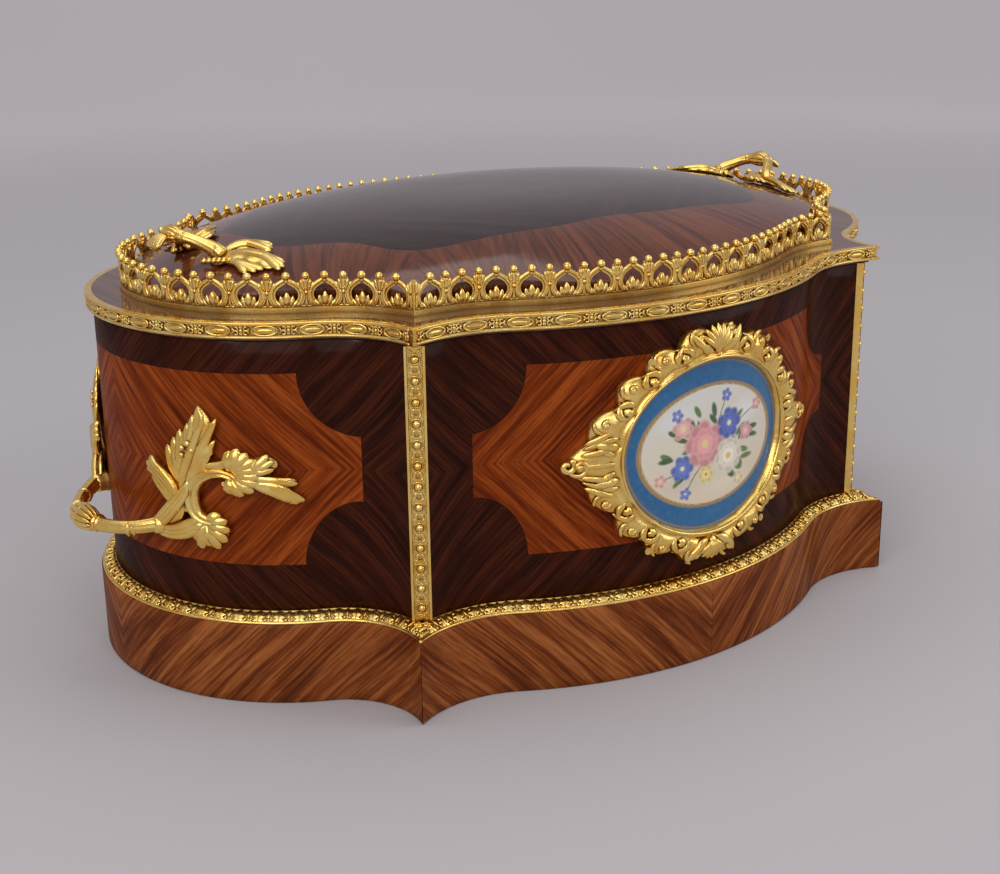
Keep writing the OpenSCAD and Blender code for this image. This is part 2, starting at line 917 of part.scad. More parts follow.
// A lifting ring is a half ring that hangs from a straight bar in its eye
module liner_ring_right() {
    color(zinc) translate([eye_x, 0, eye_z]) {
        translate([0, ring_r + wire_r * 0.6, 0]) rotate([90, 0, 0])
            cylinder(h = 2 * ring_r + wire_r * 1.2, r = wire_r);
        rotate([0, 90, 0]) rotate([0, 0, -90]) rotate_extrude(angle = 180)
            translate([ring_r, 0]) circle(wire_r * 0.92);
    }
}

module liner_ring_left() {
    to_left() liner_ring_right();
}

// Lid: a flat frame with a locating lip, and a dome on it. The dome is part
// of a barrel, so it curves along the length and across it.

lid_half_x = end_c[0] + end_r + lid_edge;
lid_half_y = back_c[1] + front_r + lid_edge;
dome_drop = dome_h - dome_edge;
barrel_long_r = bow_radius(lid_half_x, dome_drop);
barrel_cross_r = bow_radius(lid_half_y, dome_drop);
dome_top = lid_base + dome_h;

function barrel_r(x) = barrel_cross_r - sag(x, barrel_long_r);
function dome_z(x, y) = dome_top - barrel_cross_r + sqrt(pow(barrel_r(x), 2) - y * y);

// The barrel lies along X and its top is at the top of the dome
module barrel(extra) {
    length = 2 * lid_half_x + 20;
    long_r = barrel_long_r + extra;
    cross_r = barrel_cross_r + extra;
    translate([0, 0, dome_top - barrel_cross_r]) rotate([0, 90, 0]) rotate([0, 0, 90])
        rotate_extrude($fn = 360) intersection() {
            translate([cross_r - long_r, 0]) circle(long_r, $fn = 720);
            translate([0, -length / 2]) square([cross_r, length]);
        }
}

module lid_frame() {
    color(bare_wood) union() {
        translate([0, 0, shelf]) slab_ring(lid_edge, lid_edge - lid_frame_w, lid_frame_t);
        translate([0, 0, shelf - lip_h]) slab_ring(lip_edge, lid_edge - lid_frame_w, lip_h + 0.5);
    }
}

module lid_top() {
    color(veneer) difference() {
        intersection() {
            translate([0, 0, lid_base]) slab(lid_edge, dome_h + 1);
            barrel(0);
        }
        intersection() {
            translate([0, 0, lid_base - 1]) slab(lid_edge - lid_frame_w, dome_h);
            barrel(-dome_t);
        }
        lid_screw_pair(seat_gap);
        mirror([1, 0, 0]) lid_screw_pair(seat_gap);
    }
}

// Lid handles: leaves that lie on the dome, joined by a bail that stands up

lid_foot_x = lid_half_x - lid_foot_in;
lid_foot_z = dome_z(lid_foot_x, lid_foot_y) + lid_leaf_t + 1.6;

// Drawn from above: x in from the feet, y from the middle
module lid_leaves() {
    limbs([[0, 18, 4.4], [7, 22, 4.2], [14, 24, 4], [21, 22, 2.4]]);
    limbs([[3, 20, 4], [8, 32, 4.4], [12, 40, 3.6], [16, 48, 2]]);
    limbs([[12, 38, 3.4], [20, 42, 2]]);
    limbs([[4, 24, 3.6], [-4, 30, 2.6]]);
}

module lid_bail() {
    rise = norm([lid_bail_out, lid_bail_up]);
    r = bow_radius(lid_foot_y, rise);
    half = atan2(lid_foot_y, r - rise);
    translate([lid_foot_x, 0, lid_foot_z]) rotate([0, -atan2(lid_bail_up, lid_bail_out), 0])
        translate([rise - r, 0, 0]) {
            rotate([0, 0, -half]) rotate_extrude(angle = 2 * half) translate([r, 0])
                circle(lid_bail_r);
            translate([r, 0, 0]) sphere(lid_bail_r * 1.7);
        }
    both_y() translate([lid_foot_x, lid_foot_y, lid_foot_z]) sphere(lid_bail_r * 1.8);
}

module lid_handle_right() {
    color(gilt) difference() {
        union() {
            intersection() {
                barrel(lid_leaf_t);
                translate([lid_foot_x, 0, lid_base]) both_y() mirror([1, 0, 0]) lid_leaves();
            }
            lid_bail();
        }
        barrel(seat_gap);
        lid_screw_pair(seat_gap);
    }
}

module lid_handle_left() {
    to_left() lid_handle_right();
}

// Screws from under the dome into the feet of the lid bails

module lid_screw_pair(gap) {
    seat = dome_z(lid_foot_x, lid_foot_y) - dome_t + 1;
    both_y() translate([lid_foot_x, lid_foot_y, 0]) {
        translate([0, 0, seat - 1]) cylinder(h = lid_foot_z - seat + 1 + gap, r = screw_r * 0.8 + gap);
        translate([0, 0, seat - screw_head_t - (gap > 0 ? 9 : 0)])
            cylinder(h = screw_head_t + (gap > 0 ? 9 : -seat_gap), r = screw_head_r * 0.8 + gap);
    }
}

module lid_handle_screws() {
    color(zinc) both_x() lid_screw_pair(0);
}

plinth_front();
plinth_back();
plinth_left();
plinth_right();
bottom_board();
plinth_blocks();
case_front();
case_back();
case_left();
case_right();
corner_blocks();
top_frame();
border_front();
border_back();
border_left();
border_right();
base_moulding_front();
base_moulding_back();
base_moulding_left();
base_moulding_right();
corner_strip_front_left();
corner_strip_front_right();
corner_strip_back_left();
corner_strip_back_right();
gallery_front();
gallery_back();
gallery_left();
gallery_right();
plaque_frame();
plaque();
frame_screws();
handle_left();
handle_right();
handle_screws();
gallery_screws();
liner();
liner_lugs();
liner_ring_left();
liner_ring_right();
lid_frame();
lid_top();
lid_handle_left();
lid_handle_right();
lid_handle_screws();
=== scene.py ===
"""Looks of the serpentine tabletop jardiniere on its fixed frame.

Veneers, gilt mounts, porcelain, zinc and the domed lid. Lengths are in mm until a mesh is made.
"""
import json
import math

import bpy
import numpy as np
from mathutils import Matrix, Vector


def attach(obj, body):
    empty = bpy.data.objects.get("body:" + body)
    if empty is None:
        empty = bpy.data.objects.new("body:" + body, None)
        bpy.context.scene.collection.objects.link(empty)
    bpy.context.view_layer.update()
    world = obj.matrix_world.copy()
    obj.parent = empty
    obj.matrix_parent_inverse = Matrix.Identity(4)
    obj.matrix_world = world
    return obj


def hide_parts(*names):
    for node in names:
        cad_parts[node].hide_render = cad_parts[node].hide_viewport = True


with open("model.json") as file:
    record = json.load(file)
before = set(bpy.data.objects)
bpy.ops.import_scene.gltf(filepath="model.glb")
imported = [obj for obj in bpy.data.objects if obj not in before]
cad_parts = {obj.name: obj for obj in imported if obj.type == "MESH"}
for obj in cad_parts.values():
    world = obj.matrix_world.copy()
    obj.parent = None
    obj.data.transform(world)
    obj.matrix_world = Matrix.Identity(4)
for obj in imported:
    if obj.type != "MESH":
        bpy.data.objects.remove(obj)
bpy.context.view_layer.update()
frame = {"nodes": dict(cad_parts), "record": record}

MM = 0.001
nodes = frame["nodes"]

# The plan and the levels, as in the part's source

CUSP = (131.7, 119.4)
FRONT_RISE, END_RISE = 28.4, 76.8
FRONT_R, END_R = 170.0, 90.0
FRONT_HOLLOW_R, END_HOLLOW_R = 58.0, 43.0
PLINTH_OUT, PLINTH_TOP = 7.0, 36.4
WALL_T, WALL_H = 9.0, 121.8
CASE_TOP, SHELF, LID_BASE = 158.2, 166.2, 171.2
LID_OUT = -15.8
DOME_HALF, DOME_RISE, DOME_T = (192.7, 132.0), 24.4, 7.0
BORDER_H, OVAL_PITCH = 6.6, 19.0
LEAF_W, LEAF_H, LEAF_PITCH = 6.0, 3.8, 8.4
GALLERY_OUT, GALLERY_T, ARCH_PITCH = -13.4, 1.6, 15.2
GALLERY_MIDDLE = GALLERY_OUT - GALLERY_T / 2
STRIP_CUT, STRIP_SINK, BEAD_PITCH = 5.2, 2.65, 8.9
SEAT = 0.05
STEPS = 181


def meet(c0, r0, c1, r1, side):
    """Crossing of two circles, on the left of the line of centres for side 1."""
    c0, c1 = np.array(c0, float), np.array(c1, float)
    d = np.linalg.norm(c1 - c0)
    a = (r0 * r0 - r1 * r1 + d * d) / (2 * d)
    e = (c1 - c0) / d
    return c0 + a * e + side * math.sqrt(r0 * r0 - a * a) * np.array([-e[1], e[0]])


BACK_C = np.array([0.0, CUSP[1] + FRONT_RISE - FRONT_R])
END_C = np.array([CUSP[0] + END_RISE - END_R, 0.0])
BACK_HOLLOW = meet(BACK_C, FRONT_R + FRONT_HOLLOW_R, CUSP, FRONT_HOLLOW_R, 1)
END_HOLLOW = meet(END_C, END_R + END_HOLLOW_R, CUSP, END_HOLLOW_R, -1)


def corner(out):
    """The corner point in the +X +Y quarter, at a distance out from the wall face."""
    return meet(BACK_HOLLOW, FRONT_HOLLOW_R - out, END_HOLLOW, END_HOLLOW_R - out, -1)


class Side:
    """One side of the outline: a bow with a hollow at both ends.

    along and outwards are its axes in plan, and centre is how far out the bow's centre lies.
    """

    def __init__(self, along, outwards, centre, r, hollow, hollow_r):
        self.r, self.hollow_r = r, hollow_r
        self.along, self.outwards = np.array(along, float), np.array(outwards, float)
        self.centre = centre
        self.hollow = np.array(hollow, float)
        self.spread = math.atan2(self.hollow[0], self.hollow[1])

    def half(self, out):
        """Length from the middle of the side to its corner, at a distance out."""
        c = corner(out)
        if abs(self.outwards[0]) > 0.5:
            c = c[::-1]
        p = np.array([c[0], c[1] - self.centre])
        turn = self.spread - math.atan2(self.hollow[0] - p[0], self.hollow[1] - p[1])
        return self.spread * (self.r + out) + turn * (self.hollow_r - out)

    def walk(self, out, s):
        """Points and outward normals in plan at lengths s from the middle.

        On the bow, the point at angle a is R (sin a, cos a) from the bow's centre. On the hollow
        it is H - r (sin b, cos b), with b falling from the angle where the two arcs meet.
        """
        s = np.asarray(s, float)
        a = np.abs(s)
        bow_r, hollow_r = self.r + out, self.hollow_r - out
        bow = self.spread * bow_r
        angle = np.where(a <= bow, a / bow_r, self.spread - (a - bow) / hollow_r)
        on_bow = (a <= bow)[..., None]
        n = np.stack([np.sin(angle), np.cos(angle)], -1)
        p = np.where(on_bow, bow_r * n, self.hollow - hollow_r * n)
        flip = np.stack([np.where(s < 0, -1.0, 1.0), np.ones_like(s)], -1)
        return self.to_plan(p * flip, True), self.to_plan(n * flip, False)

    def to_plan(self, p, place):
        x, y = p[..., :1], p[..., 1:]
        return x * self.along + (y + (self.centre if place else 0)) * self.outwards

    def relief(self, out):
        """Carries panel points (s, z, d) to space: s along the side at out, z up, d outwards."""
        def carry(q):
            p, n = self.walk(out, q[..., 0])
            xy = p + n * q[..., 2:3]
            return np.concatenate([xy, q[..., 1:2]], -1)
        return carry

    def bowed(self, out):
        """Carries panel points (x, z, d) to space, x being square to the middle of the bow."""
        def carry(q):
            a = np.arcsin(np.clip(q[..., 0] / (self.r + out), -1, 1))
            n = np.stack([np.sin(a), np.cos(a)], -1)
            xy = self.to_plan((self.r + out + q[..., 2:3]) * n, True)
            return np.concatenate([xy, q[..., 1:2]], -1)
        return carry


hollow_front = (BACK_HOLLOW[0], BACK_HOLLOW[1] - BACK_C[1])
hollow_end = (END_HOLLOW[1], END_HOLLOW[0] - END_C[0])
SIDES = {
    "front": Side((1, 0), (0, -1), BACK_C[1], FRONT_R, hollow_front, FRONT_HOLLOW_R),
    "back": Side((-1, 0), (0, 1), BACK_C[1], FRONT_R, hollow_front, FRONT_HOLLOW_R),
    "right": Side((0, 1), (1, 0), END_C[0], END_R, hollow_end, END_HOLLOW_R),
    "left": Side((0, -1), (-1, 0), END_C[0], END_R, hollow_end, END_HOLLOW_R),
}

# Mesh tools


def flat(q):
    """Leaves points as they are."""
    return q


def shifted(carry, shift, stretch=(1, 1, 1)):
    """Carries panel points after stretching and shifting them."""
    return lambda q: carry(q * stretch + shift)


class Pile:
    """Surfaces gathered into one mesh."""

    def __init__(self):
        self.points, self.quads, self.tris, self.count = [], [], [], 0
        self.values = {}

    def add(self, points, quads, tris=(), **values):
        """Adds points and their faces, with one value or vector a point for each name."""
        points = np.asarray(points, float).reshape(-1, 3)
        self.points.append(points)
        for kept, faces in ((self.quads, quads), (self.tris, tris)):
            if len(faces):
                kept.append(np.asarray(faces, int) + self.count)
        for k, v in values.items():
            self.values.setdefault(k, []).append(np.asarray(v, float).reshape(len(points), -1))
        self.count += len(points)

    def tube(self, carry, rings, ends=None, order=1, **values):
        """Adds rings (rows, around, 3) joined in turn, closed by a fan to a point at each end.

        The end points are the middles of the outer rings unless given. order -1 turns the faces
        over, for rings that run the other way round.
        """
        n, m = rings.shape[:2]
        if ends is None:
            ends = [rings[0].mean(0), rings[-1].mean(0)]
        i = np.arange(m)
        j = (i + 1) % m
        last = (n - 1) * m
        tris = np.concatenate([np.stack([np.full(m, n * m), j, i], -1),
                               np.stack([np.full(m, n * m + 1), last + i, last + j], -1)])
        self.add(carry(np.vstack([rings.reshape(-1, 3), ends])),
                 grid_quads(n, m, wrap_cols=True)[:, ::order], tris[:, ::order], **values)

    def repeat(self, unit, carry, shifts=((0, 0, 0),), order=1):
        """Adds copies of a unit, each moved on its panel; order -1 turns the faces over."""
        points, quads, tris = (np.concatenate(v) for v in (unit.points, unit.quads, unit.tris))
        for shift in shifts:
            self.add(carry(points + shift), quads[:, ::order], tris[:, ::order])

    def mesh(self, name, material, body, slot):
        """Makes the object, which rides on a CAD body."""
        mesh = bpy.data.meshes.new(name)
        faces = [face for group in self.quads + self.tris for face in group.tolist()]
        mesh.from_pydata((np.concatenate(self.points) * MM).tolist(), [], faces)
        for k, v in self.values.items():
            v = np.concatenate(v)
            kind, field = ("FLOAT_VECTOR", "vector") if v.shape[1] == 3 else ("FLOAT", "value")
            data = mesh.attributes.new(k, kind, "POINT").data
            data.foreach_set(field, v.astype(np.float32).ravel())
        mesh.polygons.foreach_set("use_smooth", [True] * len(mesh.polygons))
        mesh.materials.append(material)
        mesh.update()
        obj = bpy.data.objects.new(name, mesh)
        bpy.context.scene.collection.objects.link(obj)
        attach(obj, body)
        return obj


def grid_quads(rows, cols, wrap_rows=False, wrap_cols=False):
    """Faces of a grid of points numbered row by row."""
    r = np.arange(rows if wrap_rows else rows - 1)
    c = np.arange(cols if wrap_cols else cols - 1)
    r, c = np.meshgrid(r, c, indexing="ij")
    r2, c2 = (r + 1) % rows, (c + 1) % cols
    return np.stack([r * cols + c, r * cols + c2, r2 * cols + c2, r2 * cols + c], -1).reshape(-1, 4)


def along_path(points, n):
    """n points spread evenly along a smooth curve through the given ones (Catmull-Rom)."""
    p = np.asarray(points, float)
    if len(p) == 2:
        t = np.linspace(0, 1, n)[:, None]
        return p[0] * (1 - t) + p[1] * t
    q = np.vstack([2 * p[0] - p[1], p, 2 * p[-1] - p[-2]])
    fine = []
    for i in range(1, len(q) - 2):
        t = np.linspace(0, 1, 24, endpoint=False)[:, None]
        a, b, c, d = q[i - 1], q[i], q[i + 1], q[i + 2]
        fine.append(0.5 * (2 * b + (c - a) * t + (2 * a - 5 * b + 4 * c - d) * t**2
                           + (3 * b - a - 3 * c + d) * t**3))
    fine = np.vstack(fine + [p[-1:]])
    run = np.r_[0, np.cumsum(np.linalg.norm(np.diff(fine, axis=0), axis=1))]
    want = np.linspace(0, run[-1], n)
    return np.stack([np.interp(want, run, fine[:, k]) for k in range(fine.shape[1])], -1)


def spread(values, u):
    """Values given at even steps from 0 to 1, read at the shares u."""
    values = np.ravel(values)
    return np.interp(u, np.linspace(0, 1, len(values)), values)


def circle_angles(n):
    return np.arange(n) * 2 * math.pi / n


def oval_loop(half_w, half_h, n, up=0.0):
    """n points round an oval: (half_w cos a, up + half_h sin a)."""
    a = circle_angles(n)
    return np.stack([half_w * np.cos(a), up + half_h * np.sin(a)], -1)


def across_of(path):
    """Unit normals of a path in the plane of its panel, to its left."""
    length = np.linalg.norm(path, axis=1)[:, None] + 1e-12
    return np.stack([-path[:, 1], path[:, 0]], -1) / length


def leaf(pile, carry, path, width, height, n, around=8, lobes=0, lobe_depth=0.35, crease=0.0):
    """A leaf, scroll or rod lying on a panel.

    path holds (s, z) or (s, z, d) points. At share u of it the section is
    (w cos t, d + h max(sin t, -0.25)), with w = width(u) (1 - lobe_depth |cos(pi lobes u)|^3) and
    a groove down the middle of the back, as deep as crease. Both ends close in a point.
    """
    p = along_path(path, n)
    if p.shape[1] == 2:
        p = np.c_[p, np.zeros(n)]
    u, t = np.linspace(0, 1, n), circle_angles(around)
    w, h = spread(width, u), spread(height, u)
    if lobes:
        w = w * (1 - lobe_depth * np.abs(np.sin(math.pi * (u * lobes + 0.5))) ** 3)
    end = np.clip(np.minimum(u, 1 - u) * n / 1.6, 0.05, 1) ** 0.5
    w, h = w * end, h * (0.4 + 0.6 * end)
    cos, sin = np.cos(t), np.sin(t)
    back = np.maximum(sin, -0.25) * (1 - crease * np.exp(-(cos / 0.3) ** 2) * (sin > 0))
    back = back * (1 + 0.25 * np.sin(2 * math.pi * u * lobes)[:, None] * cos ** 2)
    rings = np.zeros((n, around, 3))
    across = across_of(np.gradient(p[:, :2], axis=0))
    rings[..., :2] = p[:, None, :2] + across[:, None] * (w[:, None] * cos)[..., None]
    rings[..., 2] = p[:, 2:3] + h[:, None] * back
    pile.tube(carry, rings)


def pair(unit, path, width, height, n, **settings):
    """A leaf of a unit and its mirror image about s = 0."""
    path = np.array(path, float)
    mirror = [-1, 1, 1][:path.shape[1]]
    leaf(unit, flat, path, width, height, n, **settings)
    leaf(unit, flat, path * mirror, width, height, n, **settings)


def bead(pile, carry, at, r, rows=6, cols=10, squash=1.0):
    """A ball at panel point at, with radius r, flattened by squash square to the panel."""
    lat = np.linspace(0, math.pi, rows + 1)[1:-1, None]
    lon = circle_angles(cols)
    xyz = np.sin(lat) * np.cos(lon), np.sin(lat) * np.sin(lon), np.cos(lat) * squash
    poles = np.array([[0, 0, squash], [0, 0, -squash]])
    rings = np.stack(np.broadcast_arrays(*xyz), -1)
    pile.tube(carry, rings * r + at, poles * r + at, order=-1)


def sweep(pile, carry, path, profile, closed=False):
    """A section of (across, d) points swept along a panel path, which may close on itself."""
    p = np.asarray(path, float)
    tangent = np.roll(p, -1, 0) - np.roll(p, 1, 0) if closed else np.gradient(p, axis=0)
    rings = np.zeros((len(p), len(profile), 3))
    rings[..., :2] = p[:, None] + across_of(tangent)[:, None] * profile[:, :1]
    rings[..., 2] = profile[:, 1]
    if closed:
        quads = grid_quads(len(p), len(profile), wrap_rows=True, wrap_cols=True)
        pile.add(carry(rings.reshape(-1, 3)), quads)
    else:
        pile.tube(carry, rings)


def spiral(centre, r0, r1, start, turns, n=24):
    """Points of a scroll: r = r0 + (r1 - r0) u at angle start + 2 pi turns u."""
    u = np.linspace(0, 1, n)
    a = math.radians(start) + 2 * math.pi * turns * u
    r = r0 + (r1 - r0) * u
    return np.stack([centre[0] + r * np.cos(a), centre[1] + r * np.sin(a)], -1)


# Node graphs


class Value:
    """A socket of a node tree that can be written in sums."""

    def __init__(self, graph, socket):
        self.graph, self.socket = graph, socket

    def __add__(self, o):
        return self.graph.math("ADD", self, o)

    def __sub__(self, o):
        return self.graph.math("SUBTRACT", self, o)

    def __rsub__(self, o):
        return self.graph.math("SUBTRACT", o, self)

    def __mul__(self, o):
        return self.graph.math("MULTIPLY", self, o)

    def __truediv__(self, o):
        return self.graph.math("DIVIDE", self, o)

    def __abs__(self):
        return self.graph.math("ABSOLUTE", self)


class Graph:
    """Short ways to add nodes to a tree."""

    def __init__(self, tree):
        self.tree = tree

    def put(self, value, socket):
        if isinstance(value, Value):
            self.tree.links.new(value.socket, socket)
        elif value is not None:
            socket.default_value = value

    def fill(self, node, inputs):
        """Links or sets a node's inputs by name."""
        for k, v in inputs.items():
            self.put(v, node.inputs[k])
        return node

    def node(self, kind, inputs=None, **settings):
        n = self.tree.nodes.new(kind)
        for k, v in settings.items():
            setattr(n, k, v)
        return self.fill(n, inputs or {})

    def out(self, node, name=0):
        return Value(self, node.outputs[name])

    def math(self, operation, a, b=None):
        return self.out(self.node("ShaderNodeMath", {0: a, 1: b}, operation=operation))

    def vector(self, x, y, z):
        return self.out(self.node("ShaderNodeCombineXYZ", {0: x, 1: y, 2: z}))

    def attribute(self, name):
        return self.out(self.node("ShaderNodeAttribute", attribute_name=name), "Fac")

    def place(self):
        return self.out(self.node("ShaderNodeTexCoord"), "Object")

    def plan(self):
        """x and y in mm."""
        xyz = self.node("ShaderNodeSeparateXYZ", {0: self.place()})
        return self.out(xyz, 0) * (1 / MM), self.out(xyz, 1) * (1 / MM)

    def noise(self, vector, scale, detail=2.0, rough=0.5):
        return self.out(self.node("ShaderNodeTexNoise", {
            "Vector": vector, "Scale": scale, "Detail": detail, "Roughness": rough}))

    def ramp(self, value, stops):
        """A colour ramp through (place, (r, g, b)) stops."""
        n = self.node("ShaderNodeValToRGB", {0: value})
        ramp = n.color_ramp
        while len(ramp.elements) < len(stops):
            ramp.elements.new(0.5)
        for e, (place, colour) in zip(ramp.elements, stops):
            e.position = place
            e.color = (*colour, 1)
        return self.out(n)

    def between(self, value, low, high, to_low=0.0, to_high=1.0):
        """A smooth step from to_low to to_high while the value goes from low to high."""
        return self.out(self.node("ShaderNodeMapRange", {
            "Value": value, "From Min": low, "From Max": high, "To Min": to_low, "To Max": to_high},
            interpolation_type="SMOOTHSTEP"))

    def mix(self, share, a, b):
        n = self.node("ShaderNodeMix", data_type="RGBA")
        self.put(share, n.inputs[0])
        for v, k in ((a, 6), (b, 7)):
            self.put(v if isinstance(v, Value) else (*v, 1), n.inputs[k])
        return Value(self, n.outputs[2])

    def bump(self, height, strength, distance):
        return self.out(self.node("ShaderNodeBump", {
            "Height": height, "Strength": strength, "Distance": distance}))


def group(name, inputs, outputs, build):
    """A node group. build gets a Graph and the input values, and returns the output values."""
    tree = bpy.data.node_groups.new(name, "ShaderNodeTree")
    for k in inputs:
        tree.interface.new_socket(k, in_out="INPUT", socket_type="NodeSocketFloat")
    for k, kind in outputs.items():
        tree.interface.new_socket(k, in_out="OUTPUT", socket_type="NodeSocket" + kind)
    g = Graph(tree)
    ins = tree.nodes.new("NodeGroupInput")
    outs = tree.nodes.new("NodeGroupOutput")
    results = build(g, *[Value(g, ins.outputs[k]) for k in inputs])
    for v, k in zip(results, outputs):
        g.put(v, outs.inputs[k])
    return tree


def use(g, tree, *values):
    """The outputs of a group node fed with values."""
    n = g.node("ShaderNodeGroup", node_tree=tree)
    for v, socket in zip(values, n.inputs):
        g.put(v, socket)
    return [Value(g, o) for o in n.outputs]


def grain_parts(g, across, along, seed):
    """Figure, pores and streaks of straight-grained veneer, from mm across and along the grain."""
    def layer(across, fine, long, seed, detail, rough):
        return g.noise(g.vector(across * fine, along * long, seed), 1.0, detail, rough)

    bent = across + (layer(across, 0.02, 0.012, seed, 2, 0.5) - 0.5) * 5.0
    figure = layer(bent, 0.17, 0.010, seed, 4, 0.62)
    streaks = layer(bent, 0.75, 0.024, seed + 3.0, 3, 0.6)
    pores = layer(bent, 3.4, 0.09, seed + 7.0, 2, 0.7)
    tone = g.between(figure * 0.53 + streaks * 0.47, 0.33, 0.67)
    return tone, g.between(pores, 0.56, 0.66), pores


GRAIN = group("veneer grain", ["Across", "Along", "Seed"],
              {"Tone": "Float", "Pore": "Float", "Height": "Float"}, grain_parts)
DIAGONAL = 0.7071


def chevron_parts(g, s, z, middle, turned):
    """Across and along the grain of a sheet matched in four about the middle: turned is 1 or -1."""
    a, h = abs(s), abs(z - middle)
    tilt = a * turned
    return (h + tilt) * DIAGONAL, (h - tilt) * DIAGONAL


CHEVRON = group("matched veneer", ["S", "Z", "Middle", "Turned"],
                {"Across": "Float", "Along": "Float"}, chevron_parts)


def cartouche_parts(g, s, z, middle, half_w, half_h, notch_w, notch_h):
    """Distance in mm inside a panel whose four corners are hollowed by a quarter of an ellipse."""
    a, h = half_w - abs(s), half_h - abs(z - middle)
    u, v = a / notch_w, h / notch_h
    ring = g.math("SQRT", u * u + v * v) - 1.0
    hollow = ring * g.math("MINIMUM", notch_w, notch_h)
    return [g.math("MINIMUM", g.math("MINIMUM", a, h), hollow)]


CARTOUCHE = group("hollow-cornered panel",
                  ["S", "Z", "Middle", "Half width", "Half height", "Notch width", "Notch height"],
                  {"Inside": "Float"}, cartouche_parts)


def polish_parts(g):
    """Tiny unevenness and rubbed marks of an old polish."""
    cloud = g.noise(g.place(), 22.0, 3)
    marks = g.noise(g.place(), 260.0, 2, 0.6)
    return g.between(cloud * 0.6 + marks * 0.4, 0.35, 0.7), cloud


POLISH = group("old polish", [], {"Rub": "Float", "Wave": "Float"}, polish_parts)


def gilt_parts(g):
    """Chasing marks and rubbing of fire-gilt bronze."""
    patches = g.noise(g.place(), 90.0, 3, 0.6)
    return g.noise(g.place(), 1300.0, 2, 0.6), g.between(patches, 0.35, 0.68)


GILDING = group("gilding", [], {"Chasing": "Float", "Rub": "Float"}, gilt_parts)

# Materials. The colours of a wood are those of its dark, middle and light grain.

PANEL = ((0.078, 0.0095, 0.0008), (0.200, 0.0315, 0.0026), (0.385, 0.082, 0.010))
SURROUND = ((0.012, 0.0020, 0.0005), (0.034, 0.0062, 0.0018), (0.075, 0.016, 0.0045))
PLINTH = ((0.075, 0.015, 0.0035), (0.205, 0.050, 0.0105), (0.42, 0.140, 0.036))
SHELF_WOOD = ((0.035, 0.010, 0.005), (0.095, 0.028, 0.012), (0.17, 0.06, 0.025))
LID_DARK = ((0.006, 0.0022, 0.0018), (0.018, 0.0065, 0.0048), (0.042, 0.015, 0.010))
LID_BAND = ((0.045, 0.010, 0.004), (0.115, 0.027, 0.009), (0.19, 0.052, 0.019))
BARE_OAK = ((0.16, 0.085, 0.04), (0.30, 0.18, 0.09), (0.42, 0.27, 0.15))
SEAM, INLAY = (0.01, 0.004, 0.002), (0.006, 0.003, 0.002)
# The third gold is the brown of the gilt's hollows: painted shade, with dirt.
GOLD_RUBBED, GOLD_BRIGHT, GOLD_HOLLOW_SHADE_AND_DIRT = (0.95, 0.60, 0.14), (1.0, 0.755, 0.25), (0.30, 0.125, 0.022)
PANEL_MIDDLE, PANEL_HALF_H, NOTCH_H = 102.6, 41.8, 27.6


def new_material(name):
    """A material with the graph of its nodes and its shader."""
    m = bpy.data.materials.new(name)
    m.use_nodes = True
    m.node_tree.nodes.clear()
    g = Graph(m.node_tree)
    shader = g.node("ShaderNodeBsdfPrincipled")
    g.node("ShaderNodeOutputMaterial", {"Surface": g.out(shader)})
    return m, g, shader


def veneer(g, across, along, seed, dark, mid, light):
    """Body colour of a veneer, with the height of its pores."""
    tone, pore, height = use(g, GRAIN, across, along, seed)
    body = g.ramp(tone, [(0.0, dark), (0.45, mid), (1.0, light)])
    return g.mix(pore * 0.5, body, tuple(k * 0.45 for k in dark)), height


def varnish(g, shader, colour, pores, coat=0.13, gloss=0.12, wave=0.25):
    """Polished wood: a body colour with pores under a clear coat with slight waves."""
    rub, cloud = use(g, POLISH)
    g.fill(shader, {
        "Base Color": colour, "Roughness": 0.55, "Specular IOR Level": 0.02,
        "Coat Weight": coat, "Coat Roughness": rub * 0.08 + gloss,
        "Normal": g.bump(pores, 0.12, 0.0002), "Coat Normal": g.bump(cloud, wave, 0.0012)})


def wall_material(name, half_w, notch_w, seed):
    """Case wall: a warm panel with hollow corners in a dark surround, both matched in four."""
    m, g, shader = new_material(name)
    s, z = g.attribute("run"), g.attribute("rise")
    inside = use(g, CARTOUCHE, s, z, PANEL_MIDDLE, half_w, PANEL_HALF_H, notch_w, NOTCH_H)[0]
    panel, pores = veneer(g, *use(g, CHEVRON, s, z, PANEL_MIDDLE, 1.0), seed, *PANEL)
    surround, _ = veneer(g, *use(g, CHEVRON, s, z, PANEL_MIDDLE, -1.0), seed + 20.0, *SURROUND)
    colour = g.mix(g.between(inside, -0.12, 0.12), surround, panel)
    seams = g.math("MINIMUM", abs(s), abs(z - PANEL_MIDDLE))
    joint = g.between(abs(inside), 0.05, 0.35, 0.65, 0.0) + g.between(seams, 0.03, 0.25, 0.3, 0.0)
    varnish(g, shader, g.mix(g.math("MINIMUM", joint, 0.8), colour, SEAM), pores)
    return m


def plinth_material():
    """Plinth: slanting grain matched at the middle of each side, dark at the joints."""
    m, g, shader = new_material("plinth veneer")
    s, z = g.attribute("run"), g.attribute("rise")
    tilt = abs(s)
    colour, pores = veneer(g, (z - tilt) * DIAGONAL, (z + tilt) * DIAGONAL, 5.0, *PLINTH)
    mitre = g.between(g.attribute("reach"), 0.15, 0.6, 0.85, 0.0)
    joint = g.between(tilt, 0.05, 0.3, 0.5, 0.0) + mitre
    varnish(g, shader, g.mix(g.math("MINIMUM", joint, 0.9), colour, SEAM), pores, coat=0.15)
    return m


